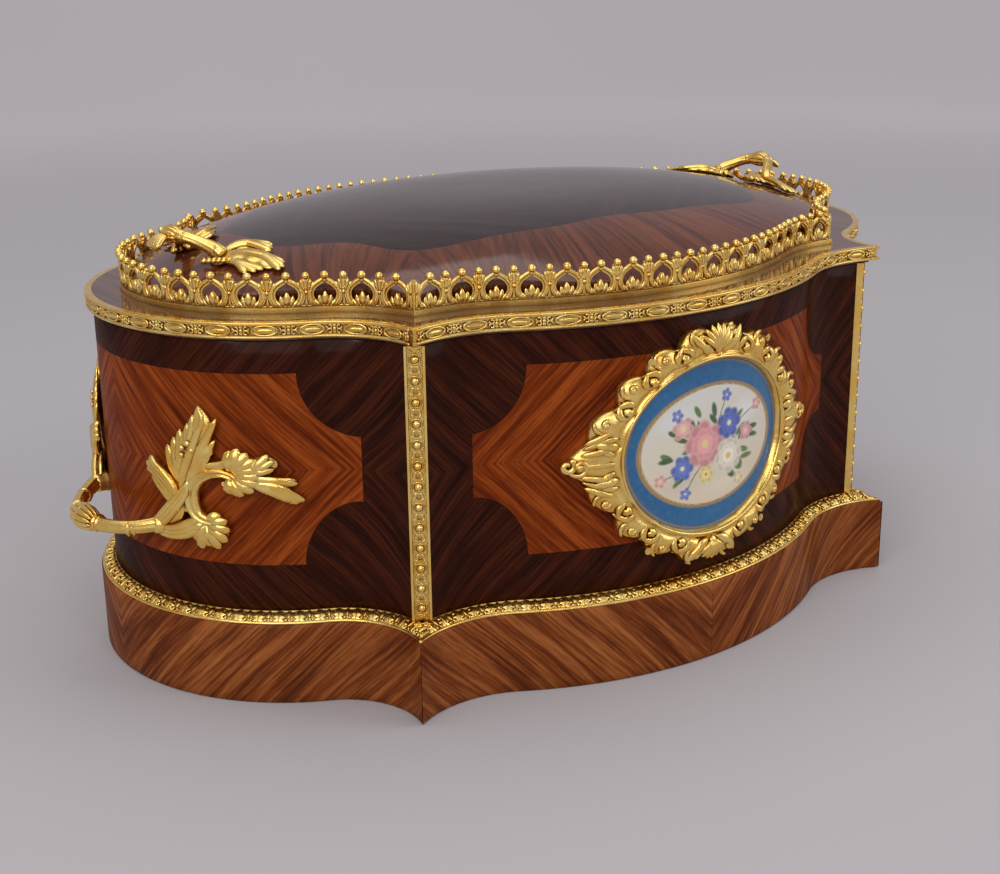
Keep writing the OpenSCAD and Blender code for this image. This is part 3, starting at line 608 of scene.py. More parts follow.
def shelf_material():
    """Top frame: straight grain along the front and back, mitred into that of the ends."""
    m, g, shader = new_material("shelf veneer")
    x, y = g.plan()
    ends = g.math("GREATER_THAN", abs(x) * 0.62, abs(y) * 0.68)
    across = ends * x + (1.0 - ends) * y
    along = ends * y + (1.0 - ends) * x
    varnish(g, shader, *veneer(g, across, along, 11.0, *SHELF_WOOD), coat=0.9, gloss=0.08)
    return m


def lid_material():
    """Lid: a dark field of diagonal grain, and a warm band with grain square to the edge."""
    m, g, shader = new_material("lid veneer")
    x, y = g.plan()
    across, along = (abs(x) + abs(y)) * DIAGONAL, (abs(x) - abs(y)) * DIAGONAL
    field, _ = veneer(g, across, along, 31.0, *LID_DARK)
    band, pores = veneer(g, g.attribute("run"), g.attribute("inset"), 37.0, *LID_BAND)
    past_band = g.attribute("past_band")
    colour = g.mix(g.between(past_band, -0.15, 0.15), band, field)
    line = g.between(abs(past_band), 0.1, 0.5, 0.7, 0.0)
    varnish(g, shader, g.mix(line, colour, INLAY), pores, coat=0.9, gloss=0.06, wave=0.3)
    return m


def bare_material():
    """Unpolished oak, with its grain along X."""
    m, g, shader = new_material("bare oak")
    x, y = g.plan()
    colour, pores = veneer(g, y, x, 41.0, *BARE_OAK)
    g.fill(shader, {"Base Color": colour, "Roughness": 0.65, "Normal": g.bump(pores, 0.3, 0.0003)})
    return m


def gilt_material():
    """Gilt bronze, bright where it stands up; in its hollows an ambient occlusion node darkens it
    to brown, as painted shade and dirt.
    """
    m, g, shader = new_material("gilt bronze")
    chasing, rub = use(g, GILDING)
    # Ambient occlusion finds the hollows, and the base colour is darkened there: painted shade,
    # with dirt.
    shade = g.node("ShaderNodeAmbientOcclusion", {"Distance": 0.0035}, samples=6)
    unshaded_share = g.between(g.out(shade, "AO"), 0.28, 0.86)
    gold = g.mix(rub, GOLD_RUBBED, GOLD_BRIGHT)
    g.fill(shader, {
        "Base Color": g.mix(unshaded_share, GOLD_HOLLOW_SHADE_AND_DIRT, gold), "Metallic": 1.0,
        "Roughness": rub * 0.10 + 0.20 + (1.0 - unshaded_share) * 0.25,
        "Normal": g.bump(chasing, 0.25, 0.0003)})
    return m


def metal_material(name, colour, rough):
    """Dull blotched metal."""
    m, g, shader = new_material(name)
    blotch = g.noise(g.place(), 40.0, 4, 0.6)
    dark = tuple(k * 0.75 for k in colour)
    g.fill(shader, {"Base Color": g.mix(g.between(blotch, 0.3, 0.7), dark, colour),
                    "Metallic": 1.0, "Roughness": blotch * 0.2 + rough})
    return m


def porcelain_material():
    """Glazed porcelain; its painting is the colour attribute of the plaque."""
    m, g, shader = new_material("painted porcelain")
    paint = g.out(g.node("ShaderNodeAttribute", attribute_name="paint"), "Color")
    worn = g.between(g.noise(g.place(), 420.0, 3, 0.6), 0.3, 0.75, 0.0, 0.04)
    g.fill(shader, {"Base Color": g.mix(worn, paint, (0.75, 0.72, 0.66)), "Roughness": 0.16,
                    "Coat Weight": 0.25, "Coat Roughness": 0.04})
    return m


GILT = gilt_material()
PORCELAIN = porcelain_material()
LID_VENEER, PLINTH_VENEER = lid_material(), plinth_material()
FRONT_VENEER = wall_material("front veneer", 109.1, 23.5, 1.0)
END_VENEER = wall_material("end veneer", 121.0, 25.5, 2.0)
BY_SLOT = {
    "gilt_bronze": GILT, "porcelain": PORCELAIN, "lid_veneer": LID_VENEER,
    "plinth_veneer": PLINTH_VENEER, "case_veneer": FRONT_VENEER,
    "top_veneer": shelf_material(), "bare_oak": bare_material(),
    "zinc_sheet": metal_material("zinc sheet", (0.42, 0.44, 0.46), 0.38),
    "steel_screws": metal_material("steel screws", (0.45, 0.45, 0.46), 0.3),
}
for part in frame["record"]["subparts"]:
    obj = nodes[part["node"]]
    obj.data.materials.clear()
    obj.data.materials.append(BY_SLOT[part["material_slot"]])

# Camera, room and light. Places and sizes are in metres.

scene = bpy.context.scene
scene.render.resolution_x, scene.render.resolution_y = 1000, 874
scene.view_settings.view_transform = "Standard"


def add_camera(at, yaw, pitch, roll, sensor, lens, shift):
    """A camera at a point, turned by yaw, tipped down by pitch and rolled, in radians."""
    back = Vector((math.sin(yaw) * math.cos(pitch), -math.cos(yaw) * math.cos(pitch),
                   math.sin(pitch)))
    right = Vector((math.cos(yaw), math.sin(yaw), 0))
    turn = Matrix((right, back.cross(right), back)).transposed() @ Matrix.Rotation(roll, 3, "Z")
    data = bpy.data.cameras.new("camera")
    data.sensor_width, data.lens = sensor, lens
    data.shift_x, data.shift_y = shift
    data.clip_start, data.clip_end = 0.02, 20
    cam = bpy.data.objects.new("camera", data)
    scene.collection.objects.link(cam)
    cam.matrix_world = Matrix.Translation(at) @ turn.to_4x4()
    scene.camera = cam


add_camera(Vector((-0.45068, -0.61655, 0.30888)), yaw=-0.61116, pitch=0.30857, roll=-0.01840,
           sensor=36.0, lens=55.81, shift=(0.02339, 0.0003))


FLOOR_R, BEND, ROOM_R, ROOM_H = 2.4, 1.9, 4.4, 3.2
FLOOR_COLOURS = (0.475, 0.455, 0.475), (0.505, 0.485, 0.50)
WALL_COLOURS = (0.375, 0.345, 0.37), (0.405, 0.372, 0.40)


def add_backdrop():
    """A floor that curves up into a wall all round, which glows instead of taking the light.

    Its height at radius r is ROOM_H min(1, (r - FLOOR_R) / BEND)^2, and 0 inside FLOOR_R.
    """
    rows, cols = 40, 64
    r = np.linspace(0.02, ROOM_R, rows)[:, None]
    a = circle_angles(cols)
    z = ROOM_H * np.clip((r - FLOOR_R) / BEND, 0, 1) ** 2
    pts = np.stack(np.broadcast_arrays(r * np.cos(a), r * np.sin(a), z), -1).reshape(-1, 3)
    i = np.arange(cols)
    centre = np.stack([np.full(cols, rows * cols), i, (i + 1) % cols], -1)
    mesh = bpy.data.meshes.new("backdrop")
    mesh.from_pydata(pts.tolist() + [[0, 0, 0]], [],
                     grid_quads(rows, cols, wrap_cols=True)[:, ::-1].tolist() + centre.tolist())
    mesh.polygons.foreach_set("use_smooth", [True] * len(mesh.polygons))
    m, g, shader = new_material("paper backdrop")
    x, y = g.plan()
    soft = g.noise(g.place(), 1.3, 2)
    far = g.between(g.math("SQRT", x * x + y * y) * MM, 0.7, FLOOR_R)
    g.fill(shader, {
        "Base Color": g.mix(far, g.mix(soft, *FLOOR_COLOURS), (0.02, 0.02, 0.02)),
        "Emission Color": g.mix(soft, *WALL_COLOURS), "Emission Strength": far,
        "Roughness": 0.85})
    mesh.materials.append(m)
    obj = bpy.data.objects.new("backdrop", mesh)
    scene.collection.objects.link(obj)


def add_area(name, at, to, size, watts, colour):
    """A soft rectangular light at a point, facing another."""
    data = bpy.data.lights.new(name, "AREA")
    data.shape = "RECTANGLE"
    data.size, data.size_y = size
    data.energy, data.color = watts, colour
    obj = bpy.data.objects.new(name, data)
    obj.location = at
    obj.rotation_euler = (Vector(to) - Vector(at)).to_track_quat("-Z", "Y").to_euler()
    scene.collection.objects.link(obj)


add_backdrop()
world = bpy.data.worlds.new("room")
scene.world = world
world.use_nodes = True
background = world.node_tree.nodes["Background"]
background.inputs["Color"].default_value = (0.80, 0.80, 0.84, 1)
background.inputs["Strength"].default_value = 0.45
# lights: name, place, height they face above the middle of the floor, size, watts, colour
for name, at, z, size, watts, colour in (
        ("ceiling", (0.0, 0.2, 2.3), 0, (2.6, 2.2), 20, (1.0, 0.98, 0.97)),
        ("window", (-1.5, -1.4, 1.4), 0.08, (1.5, 1.6), 15, (1.0, 0.97, 0.93)),
        ("side", (1.5, -1.3, 1.0), 0.08, (1.1, 1.2), 8, (0.96, 0.98, 1.0)),
        ("glint left", (-1.3, -0.5, 0.9), 0.1, (0.22, 0.22), 1.6, (1.0, 0.98, 0.95)),
        ("glint front", (-0.2, -1.6, 1.2), 0.1, (0.22, 0.22), 1.8, (1.0, 0.98, 0.95))):
    add_area(name, at, (0, 0, z), size, watts, colour)

# Carcass

PLINTH_IN = -5.0


def rings_along(side, section, cut=0.0):
    """Rings of a section of (out, z) points from corner to corner of a side, mitred.

    cut takes that many mm off each end. Also gives every point's length from the middle of the
    side and the length that is left to its corner.
    """
    share = np.linspace(-1, 1, STEPS)
    rings = np.zeros((STEPS, len(section), 3))
    run, reach = np.zeros((2, STEPS, len(section)))
    for k, (out, z) in enumerate(section):
        half = side.half(out)
        s = share * (half - cut)
        rings[:, k, :2] = side.walk(out, s)[0]
        rings[:, k, 2], run[:, k], reach[:, k] = z, s, half - np.abs(s)
    return rings, run, reach


def add_slab(side, inner, outer, low, high, cut, edge, name, material, slot, node):
    """A wall or rail along one side: a rectangle with eased outer edges."""
    face = [(outer, z) for z in np.linspace(low, high, 10)[1:-1]]
    section = np.array([(inner, low), (outer - edge, low), (outer, low + edge), *face,
                        (outer, high - edge), (outer - edge, high), (inner, high)])
    rings, run, reach = rings_along(side, section, cut)
    rise = np.broadcast_to(section[:, 1], run.shape)
    pile = Pile()
    pile.tube(flat, rings, order=-1, run=np.r_[run.ravel(), run[0, 0], run[-1, 0]],
              rise=np.r_[rise.ravel(), low, low], reach=np.r_[reach.ravel(), 0, 0])
    obj = pile.mesh(name, material, "case", slot)
    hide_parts(node)


for name, side in SIDES.items():
    wall = FRONT_VENEER if name in ("front", "back") else END_VENEER
    add_slab(side, -WALL_T, 0.0, PLINTH_TOP, CASE_TOP, STRIP_CUT, 0.5,
             f"wall.{name}", wall, "case_veneer", f"case_{name}")
    add_slab(side, PLINTH_IN, PLINTH_OUT, 0.0, PLINTH_TOP, SEAT, 0.7,
             f"plinth.{name}", PLINTH_VENEER, "plinth_veneer", f"plinth_{name}")

# Lid

DOME_FOOT = LID_BASE + 0.6
FIELD_SQUASH, FIELD_STEPS, FIELD_WAVES = 0.7, 720, 13


def lid_height(x, y):
    """Top of the dome: foot + rise (1 - q^3).

    Here q^2 = (x / half length)^2 + (y / half depth)^2, and q is at most 1.
    """
    q = np.hypot(x / DOME_HALF[0], y / DOME_HALF[1])
    return DOME_FOOT + DOME_RISE * (1 - np.minimum(q, 1.0) ** 3)


def outline_loop(out, per_side):
    """Points and outward normals round the outline, and their lengths from a side's middle.

    The last result is that length as a share of half the side.
    """
    found = []
    for name in ("front", "right", "back", "left"):
        side = SIDES[name]
        h = side.half(out)
        s = np.linspace(-h, h, per_side, endpoint=False)
        found.append((*side.walk(out, s), s, np.abs(s) / h))
    return [np.concatenate(v) for v in zip(*found)]


def oval_polar(p):
    """Angle and radius of plan points, after stretching them to a rounder shape."""
    y = p[:, 1] / FIELD_SQUASH
    return np.arctan2(y, p[:, 0]), np.hypot(p[:, 0], y)


def lid_field(points):
    """How far points lie inside the dark field of the lid, in mm.

    Its edge is the outline moved in by 32 + 19 cos^2(pi/2 share) mm. In oval polar terms that
    edge is a radius R(angle), smoothed by keeping only its first waves.
    """
    pts, normals, _, share = outline_loop(LID_OUT, 400)
    inwards = 32 + 19 * np.cos(math.pi / 2 * share) ** 2
    angle, radius = oval_polar(pts - normals * inwards[:, None])
    order = np.argsort(angle)
    even = np.linspace(-math.pi, math.pi, FIELD_STEPS, endpoint=False)
    waves = np.fft.rfft(np.interp(even, angle[order], radius[order], period=2 * math.pi))
    waves[FIELD_WAVES:] = 0
    at, far = oval_polar(points)
    return np.interp(at, even, np.fft.irfft(waves, FIELD_STEPS), period=2 * math.pi) - far


def add_lid_top():
    """The dome: rings of the outline shrunk to a point, with an upright edge, hollow below."""
    edge = outline_loop(LID_OUT, 90)[0]

    def ring(q, z):
        return np.c_[edge * q, np.broadcast_to(z, len(edge))]

    def dome(q):
        return lid_height(*(edge * q).T)

    rows = [ring(q, np.maximum(dome(q) - DOME_T, LID_BASE)) for q in (0.2, 0.45, 0.7, 0.925)]
    rows += [ring(0.93, LID_BASE), ring(1, LID_BASE), ring(1, dome(1) - 0.5)]
    shares = np.r_[0.998, 0.994, 1 - np.linspace(0.012, 1, 46)[:-1] ** 1.1]
    rings = np.array(rows + [ring(q, dome(q)) for q in shares])
    plan = rings[..., :2].reshape(-1, 2)
    fine, _, fine_run, _ = outline_loop(LID_OUT, 400)
    near = np.concatenate([((chunk[:, None] - fine) ** 2).sum(-1).argmin(1)
                           for chunk in np.array_split(plan, 40)])
    inset = np.linalg.norm(plan - fine[near], axis=1)
    top = lid_height(0, 0)
    pile = Pile()
    pile.tube(flat, rings, [[0, 0, top - DOME_T], [0, 0, top]], inset=np.r_[inset, 130, 130],
              run=np.r_[fine_run[near], 0, 0], past_band=np.r_[lid_field(plan), 90, 90])
    obj = pile.mesh("dome", LID_VENEER, "lid", "lid_veneer")
    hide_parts("lid_top")


add_lid_top()

# Gilt mounts. A unit is drawn about s = 0 and then set along its side.

LEAF_RUN = 7.2


def in_row(n, pitch):
    """Shifts of n units side by side, even about the middle."""
    return [((i + 0.5 - n / 2) * pitch, 0, 0) for i in range(n)]


def arch_unit():
    """One onion arch with its knob and the palmette that stands in its opening."""
    unit = Pile()
    pair(unit, [(2.4, 2.7), (4.7, 3.5), (5.9, 5.4), (6.2, 7.6), (5.7, 9.7), (4.2, 11.5),
                (2.4, 12.7), (1.0, 13.6), (0.4, 14.9)],
         [0.6, 0.95, 0.95, 0.9, 0.9, 0.6], [0.6, 1.1, 1.2, 1.1, 0.7], 26, around=10, crease=0.45)
    leaf(unit, flat, [(0, 2.6), (0, 8.7)], [1.3, 1.6, 1.4, 0.45], [0.9, 1.4, 1.2, 0.5], 14,
         around=10, crease=0.45)
    pair(unit, [(0.8, 2.6), (2.1, 4.6), (2.5, 7.1)], [0.9, 1.2, 0.45], [0.8, 1.2, 0.6], 12,
         crease=0.4)
    pair(unit, [(1.4, 2.4), (3.4, 3.7), (4.3, 5.3)], [0.8, 1.1, 0.5], [0.7, 1.1, 0.5], 10,
         crease=0.3)
    bead(unit, flat, (0, 13.2, 0.4), 0.9, squash=0.7)
    return unit


def post_unit():
    """The palmette between two arches: five ribs that open from a waist, on a fluted foot."""
    unit = Pile()
    pair(unit, [(3.1, 2.3), (1.5, 4.2), (0.75, 6.6), (1.3, 8.8), (2.6, 10.4)],
         [0.6, 0.7, 0.6, 0.6, 0.4], [0.6, 1.0, 1.1, 1.0, 0.6], 16)
    leaf(unit, flat, [(0, 2.2), (0, 9.6)], [1.2, 0.6, 0.45, 0.7], [0.8, 0.8, 0.8, 1.0], 12,
         crease=0.3)
    leaf(unit, flat, [(0, 7.8), (0, 14.4)], [0.8, 2.2, 2.7, 1.0], 0.7, 14, around=10)
    leaf(unit, flat, [(0, 8.4), (0, 14.8)], [0.6, 0.95, 1.0, 0.7], [0.9, 1.5, 1.5, 1.0], 12,
         crease=0.35)
    pair(unit, [(0.4, 8.6), (1.4, 11.2), (1.9, 13.7)], [0.5, 0.9, 0.85], [0.9, 1.5, 1.3], 12,
         crease=0.3)
    pair(unit, [(0.6, 8.4), (2.3, 10.4), (3.4, 12.5)], [0.5, 0.9, 0.8], [0.8, 1.3, 1.1], 12,
         crease=0.3)
    bead(unit, flat, (0, 8.4, 0.6), 0.95, squash=0.8)
    return unit


def add_gallery_relief(name, side):
    """Arches and posts in turn, half a post at each mitre, and two rods along the foot."""
    half = side.half(GALLERY_MIDDLE)
    n = round(2 * half / ARCH_PITCH)
    pitch = 2 * half / n
    carry = shifted(side.relief(GALLERY_MIDDLE), [0, SHELF + SEAT, GALLERY_T / 2 - 0.1])
    pile = Pile()
    pile.repeat(arch_unit(), carry, in_row(n, pitch))
    pile.repeat(post_unit(), carry, in_row(n - 1, pitch))
    for way in (-1, 1):
        for root, tip in ((0.7, 0.7), (0.9, 2.1), (1.1, 3.3)):
            top = 14.2 - 0.45 * tip**1.3
            leaf(pile, carry, [(way * (half - root), 8.2), (way * (half - tip), top)],
                 [0.45, 0.8, 0.6], [0.8, 1.3, 1.0], 12)
        for root, tip in ((0.6, 0.6), (2.6, 1.0)):
            leaf(pile, carry, [(way * (half - root), 2.3), (way * (half - tip), 8.6)],
                 [0.7, 0.5, 0.4], [0.8, 1.0, 0.8], 10)
    s = np.linspace(-half + 0.3, half - 0.3, 260)
    for z, r in ((1.75, 0.75), (2.75, 0.4)):
        sweep(pile, carry, np.c_[s, np.full_like(s, z)], oval_loop(r, r, 8, up=0.1))
    pile.mesh(f"gallery.relief.{name}", GILT, "case", "gilt_bronze")


def border_unit():
    """One oval of the top moulding with the scrolls and the flower that join it to the next."""
    unit = Pile()
    sweep(unit, flat, oval_loop(5.0, 2.0, 28), oval_loop(0.5, 0.9, 6, up=0.3), closed=True)
    leaf(unit, flat, [(-3.7, 0), (3.7, 0)], [0.6, 1.1, 1.1, 0.6], 1.25, 14, around=10)
    for way in (-1, 1):
        scroll = spiral((7.5, way * 1.0), 0.35, 1.3, 180 + 20 * way, -1.1 * way, 14)
        pair(unit, scroll, 0.5, 1.2, 16, around=6)
        pair(unit, [(5.2, way * 2.1), (6.8, way * 2.6), (9.4, way * 2.3)], [0.4, 0.6, 0.35], 0.9,
             8, around=6)
        pair(unit, [(9.3, way * 0.7), (9.1, way * 2.0)], [0.5, 0.7, 0.3], 1.0, 10, around=6)
        pair(unit, [(1.2, way * 2.5), (3.2, way * 2.7)], [0.3, 0.45, 0.2], 0.8, 10, around=6)
    bead(unit, flat, (9.5, 0, 0.5), 0.95, squash=0.8)
    return unit


def add_border_relief(name, side):
    """A row of ovals between two rods. The unit is stretched so that a whole number fits."""
    half = side.half(0)
    n = round(2 * half / OVAL_PITCH)
    stretch = 2 * half / n / OVAL_PITCH
    on_side = side.relief(0)
    carry = shifted(on_side, [0, SHELF - BORDER_H / 2, 2.0], [stretch, 1, 1])
    pile = Pile()
    pile.repeat(border_unit(), carry, in_row(n, OVAL_PITCH))
    s = np.linspace(-half - 1.2, half + 1.2, 240)
    for z in (SHELF - 0.5, SHELF - BORDER_H + 0.5):
        sweep(pile, shifted(on_side, [0, z, 2.3]), np.c_[s, 0 * s], oval_loop(0.5, 0.9, 8))
    pile.mesh(f"border.relief.{name}", GILT, "case", "gilt_bronze")


def round_moulding(side):
    """Carries (s, way up, height) onto the quarter oval on the plinth, LEAF_RUN mm long."""
    on_side = side.relief(0)

    def carry(q):
        angle = q[..., 1] / LEAF_RUN * math.pi / 2
        out = (LEAF_W - 0.5 + q[..., 2]) * np.cos(angle)
        rise = (LEAF_H - 0.4 + q[..., 2]) * np.sin(angle)
        return on_side(np.stack([q[..., 0], PLINTH_TOP + SEAT + rise, 0.1 + out], -1))
    return carry


def add_leaf_moulding(name, side):
    """Acanthus leaves side by side over a quarter round, with a small leaf in each gap."""
    half = side.half(3.0)
    n = round(2 * half / LEAF_PITCH)
    gap = half / n
    unit = Pile()
    leaf(unit, flat, [(0, LEAF_RUN), (0.15, 4.8), (0.1, 2.4), (0, 0.3)],
         [1.1, 2.4, 3.1, 3.3, 2.2], [0.5, 0.8, 0.9, 0.7], 20, around=12, lobes=3, lobe_depth=0.5,
         crease=0.55)
    leaf(unit, flat, [(0, LEAF_RUN), (0, 0.7)], [0.3, 0.4, 0.35], [0.8, 1.0, 1.1], 10, around=6)
    leaf(unit, flat, [(gap, LEAF_RUN), (gap, 2.9)], [0.7, 1.0, 0.5], [0.6, 0.8, 0.7], 10,
         crease=0.3)
    for way in (-1, 1):
        curl = [(gap + way * 0.4, 3.0), (gap + way * 1.3, 2.2), (gap + way * 0.9, 1.2)]
        leaf(unit, flat, curl, [0.35, 0.55, 0.45], [0.5, 0.8, 0.6], 10, around=6)
    pile = Pile()
    pile.repeat(unit, round_moulding(side), in_row(n, 2 * gap))
    section = [(0.02, 0.02), (6.3, 0.02), (6.45, 0.5), (6.2, 1.0)]
    section += [(0.1 + 5.2 * math.cos(a), 0.1 + 3.3 * math.sin(a))
                for a in np.linspace(0.3, 1.5, 7)]
    section += [(0.3, LEAF_H), (0.02, LEAF_H)]
    pile.tube(flat, rings_along(side, np.array(section) + [0, PLINTH_TOP])[0], order=-1)
    obj = pile.mesh(f"leaf.moulding.{name}", GILT, "case", "gilt_bronze")
    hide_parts(f"base_moulding_{name}")


for name, side in SIDES.items():
    add_gallery_relief(name, side)
    add_border_relief(name, side)
    add_leaf_moulding(name, side)


def add_strip_relief(name, sx, sy):
    """Collars and small leaves round the beads of a corner strip."""
    outwards = corner(PLINTH_OUT) - corner(-WALL_T)
    outwards /= np.linalg.norm(outwards)
    across = np.array([-outwards[1], outwards[0]])
    low = PLINTH_TOP + LEAF_H
    length = CASE_TOP - low - 0.1
    n = int(length // BEAD_PITCH)
    first = (length - (n - 1) * BEAD_PITCH) / 2

    def carry(q):
        xy = (CUSP + outwards * (q[:, 2:] - STRIP_SINK) + across * q[:, :1]) * [sx, sy]
        return np.c_[xy, q[:, 1] + low + SEAT]

    unit = Pile()
    sweep(unit, flat, oval_loop(2.1, 2.1, 16), oval_loop(0.3, 0.45, 6), closed=True)
    for way in (1, -1):
        pair(unit, [(0.3, way * 2.4), (1.3, way * 3.1), (2.3, way * 4.2)], [0.35, 0.6, 0.3], 0.55,
             8, around=6)
        pair(unit, [(2.5, way * 0.4), (2.9, way * 1.5), (2.5, way * 2.6)], [0.25, 0.4, 0.25], 0.45,
             8, around=6)
    pile = Pile()
    pile.repeat(unit, carry, [(0, first + k * BEAD_PITCH, 0) for k in range(n)], order=sx * sy)
    pile.mesh(f"strip.relief.{name}", GILT, "case", "gilt_bronze")


for name, sx, sy in (("front_left", -1, -1), ("front_right", 1, -1),
                     ("back_left", -1, 1), ("back_right", 1, 1)):
    add_strip_relief(name, sx, sy)

# Plaque and its frame

PLAQUE_Z = PLINTH_TOP + WALL_H * 0.52
SIGHT_X, SIGHT_Z, BAND, RIM = 44.0, 38.0, 11.0, 2.3
SCENE_X, SCENE_Z = 36.3, 26.4
SCROLLS, SCROLL_R, EAR = 18, 6.0, 9.0


def oval(angle, extra):
    """Points of the frame's opening, moved out by extra."""
    return np.stack([(SIGHT_X + extra) * np.cos(angle), (SIGHT_Z + extra) * np.sin(angle)], -1)


def frame_edge(angle):
    """Distance of the frame's edge from its opening: a row of scrolls with ears and a crest."""
    return (BAND - SCROLL_R * 0.4
            + SCROLL_R * np.abs(np.sin(angle * SCROLLS / 2 + math.pi / 2)) ** 0.7
            + EAR * np.abs(np.cos(angle)) ** 24 + SCROLL_R * 0.3 * np.abs(np.sin(angle)) ** 24)


def add_plaque_frame():
    """A ring of relief round the opening, with a curl on every scroll and a leaf between."""
    carry = shifted(SIDES["front"].bowed(0), [0, PLAQUE_Z, 0])
    pile = Pile()
    cols = 540
    a = circle_angles(cols)
    share = np.array([0, 0.02, 0.06, 0.11, 0.15, 0.19, 0.23, 0.27, 0.32, 0.4, 0.48, 0.56, 0.64,
                      0.72, 0.8, 0.87, 0.93, 0.97, 1.0])[:, None]
    height = np.array([2.6, 4.0, 5.0, 5.7, 6.1, 5.7, 4.9, 4.9, 5.3, 5.6, 5.6, 5.4, 5.1,
                       4.7, 4.2, 3.6, 2.8, 1.8, 0.1])[:, None]
    wave = np.clip((share - 0.3) / 0.2, 0, 1) * (1 - share) * 1.5
    edge = frame_edge(a)
    grid = np.full((len(share) + 2, cols, 3), 0.06)
    grid[:-2, :, :2] = oval(a, share * edge)
    grid[:-2, :, 2] = height + wave * np.cos(a * SCROLLS)
    grid[-2, :, :2], grid[-1, :, :2] = oval(a, edge), oval(a, 0)
    pile.add(carry(grid.reshape(-1, 3)),
             grid_quads(len(grid), cols, wrap_rows=True, wrap_cols=True)[:, ::-1])
    sweep(pile, carry, oval(a[::3], 1.6), oval_loop(0.7, 0.9, 8, up=5.4), closed=True)
    for k in range(SCROLLS):
        t = k * 2 * math.pi / SCROLLS
        hand = 1 if k * 2 <= SCROLLS else -1
        at = oval(t, frame_edge(t) - 4.6)
        out = math.degrees(math.atan2(math.sin(t) * SIGHT_X, math.cos(t) * SIGHT_Z))
        curl = spiral(at, 0.5, 4.6, out + 60 * hand, -1.15 * hand, 26)
        leaf(pile, carry, np.c_[curl, np.linspace(5.3, 3.6, 26)], [1.0, 1.1, 1.3, 1.2, 0.7],
             [1.3, 1.6, 1.6, 1.2], 30)
        bead(pile, carry, (*at, 5.4), 1.5, squash=0.8)
        for lean in (-0.26, 0.26):
            b = t + lean * 2 * math.pi / SCROLLS
            tip = b + lean * 0.5
            path = [(*oval(b, 4.0), 4.8), (*oval(b + lean * 0.1, 8.5), 5.4),
                    (*oval(tip, frame_edge(tip) - 1.0), 3.6)]
            leaf(pile, carry, path, [0.8, 1.6, 1.3, 0.5], [0.9, 1.5, 1.3, 0.8], 12, crease=0.4)
        b = t + math.pi / SCROLLS
        start, stop = oval(b, 3.2), oval(b, frame_edge(b) - 0.3)
        leaf(pile, carry, np.c_[[start, (start + stop) / 2, stop], [4.8, 5.6, 4.0]],
             [1.2, 2.3, 2.2, 1.0], [1.0, 1.9, 1.7, 1.1], 14, around=10, lobes=2, crease=0.5)
    for way in (-1, 1):
        # ears: ribs that fan out into a loop
        for lean in (-1, -0.5, 0, 0.5, 1):
            path = [(way * (SIGHT_X + 3.5), lean * 15, 4.8),
                    (way * (SIGHT_X + 11), lean * 12, 5.4),
                    (way * (SIGHT_X + BAND + 9 - 3 * abs(lean)), lean * 9.5, 4.2)]
            leaf(pile, carry, path, [0.8, 1.5, 1.2], [1.0, 1.6, 1.0], 12, crease=0.3)
        loop = spiral((way * (SIGHT_X + BAND + 12.5), 0.4), 0.6, 3.2, 90 + 90 * way, -1.2 * way, 24)
        leaf(pile, carry, np.c_[loop, np.full(24, 3.4)], [1.1, 1.4, 1.5, 1.4],
             [1.6, 1.9, 1.9, 1.7], 26)
        # crest and foot: a shell of seven ribs between two leaves
        root = np.array([0, way * (SIGHT_Z + 5.0)])
        for k in range(-3, 4):
            b = math.radians(k * 17)
            tip = root + (10.5 + way) * np.array([math.sin(b), way * math.cos(b)])
            leaf(pile, carry, np.c_[[root, (root + tip) / 2, tip], [5.6, 6.2, 4.6]],
                 [0.7, 1.2, 1.5, 1.0], [1.0, 1.7, 1.6, 1.2], 12)
        for hand in (-1, 1):
            path = [(hand * 2, way * (SIGHT_Z + 4), 5), (hand * 9, way * (SIGHT_Z + 8), 6),
                    (hand * 14, way * (SIGHT_Z + 14), 4)]
            leaf(pile, carry, path, [1.2, 2.6, 2.0, 0.8], [1.2, 2.0, 1.6], 14, around=10, lobes=2,
                 crease=0.4)
    obj = pile.mesh("plaque.frame", GILT, "case", "gilt_bronze")
    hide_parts("plaque_frame")


add_plaque_frame()


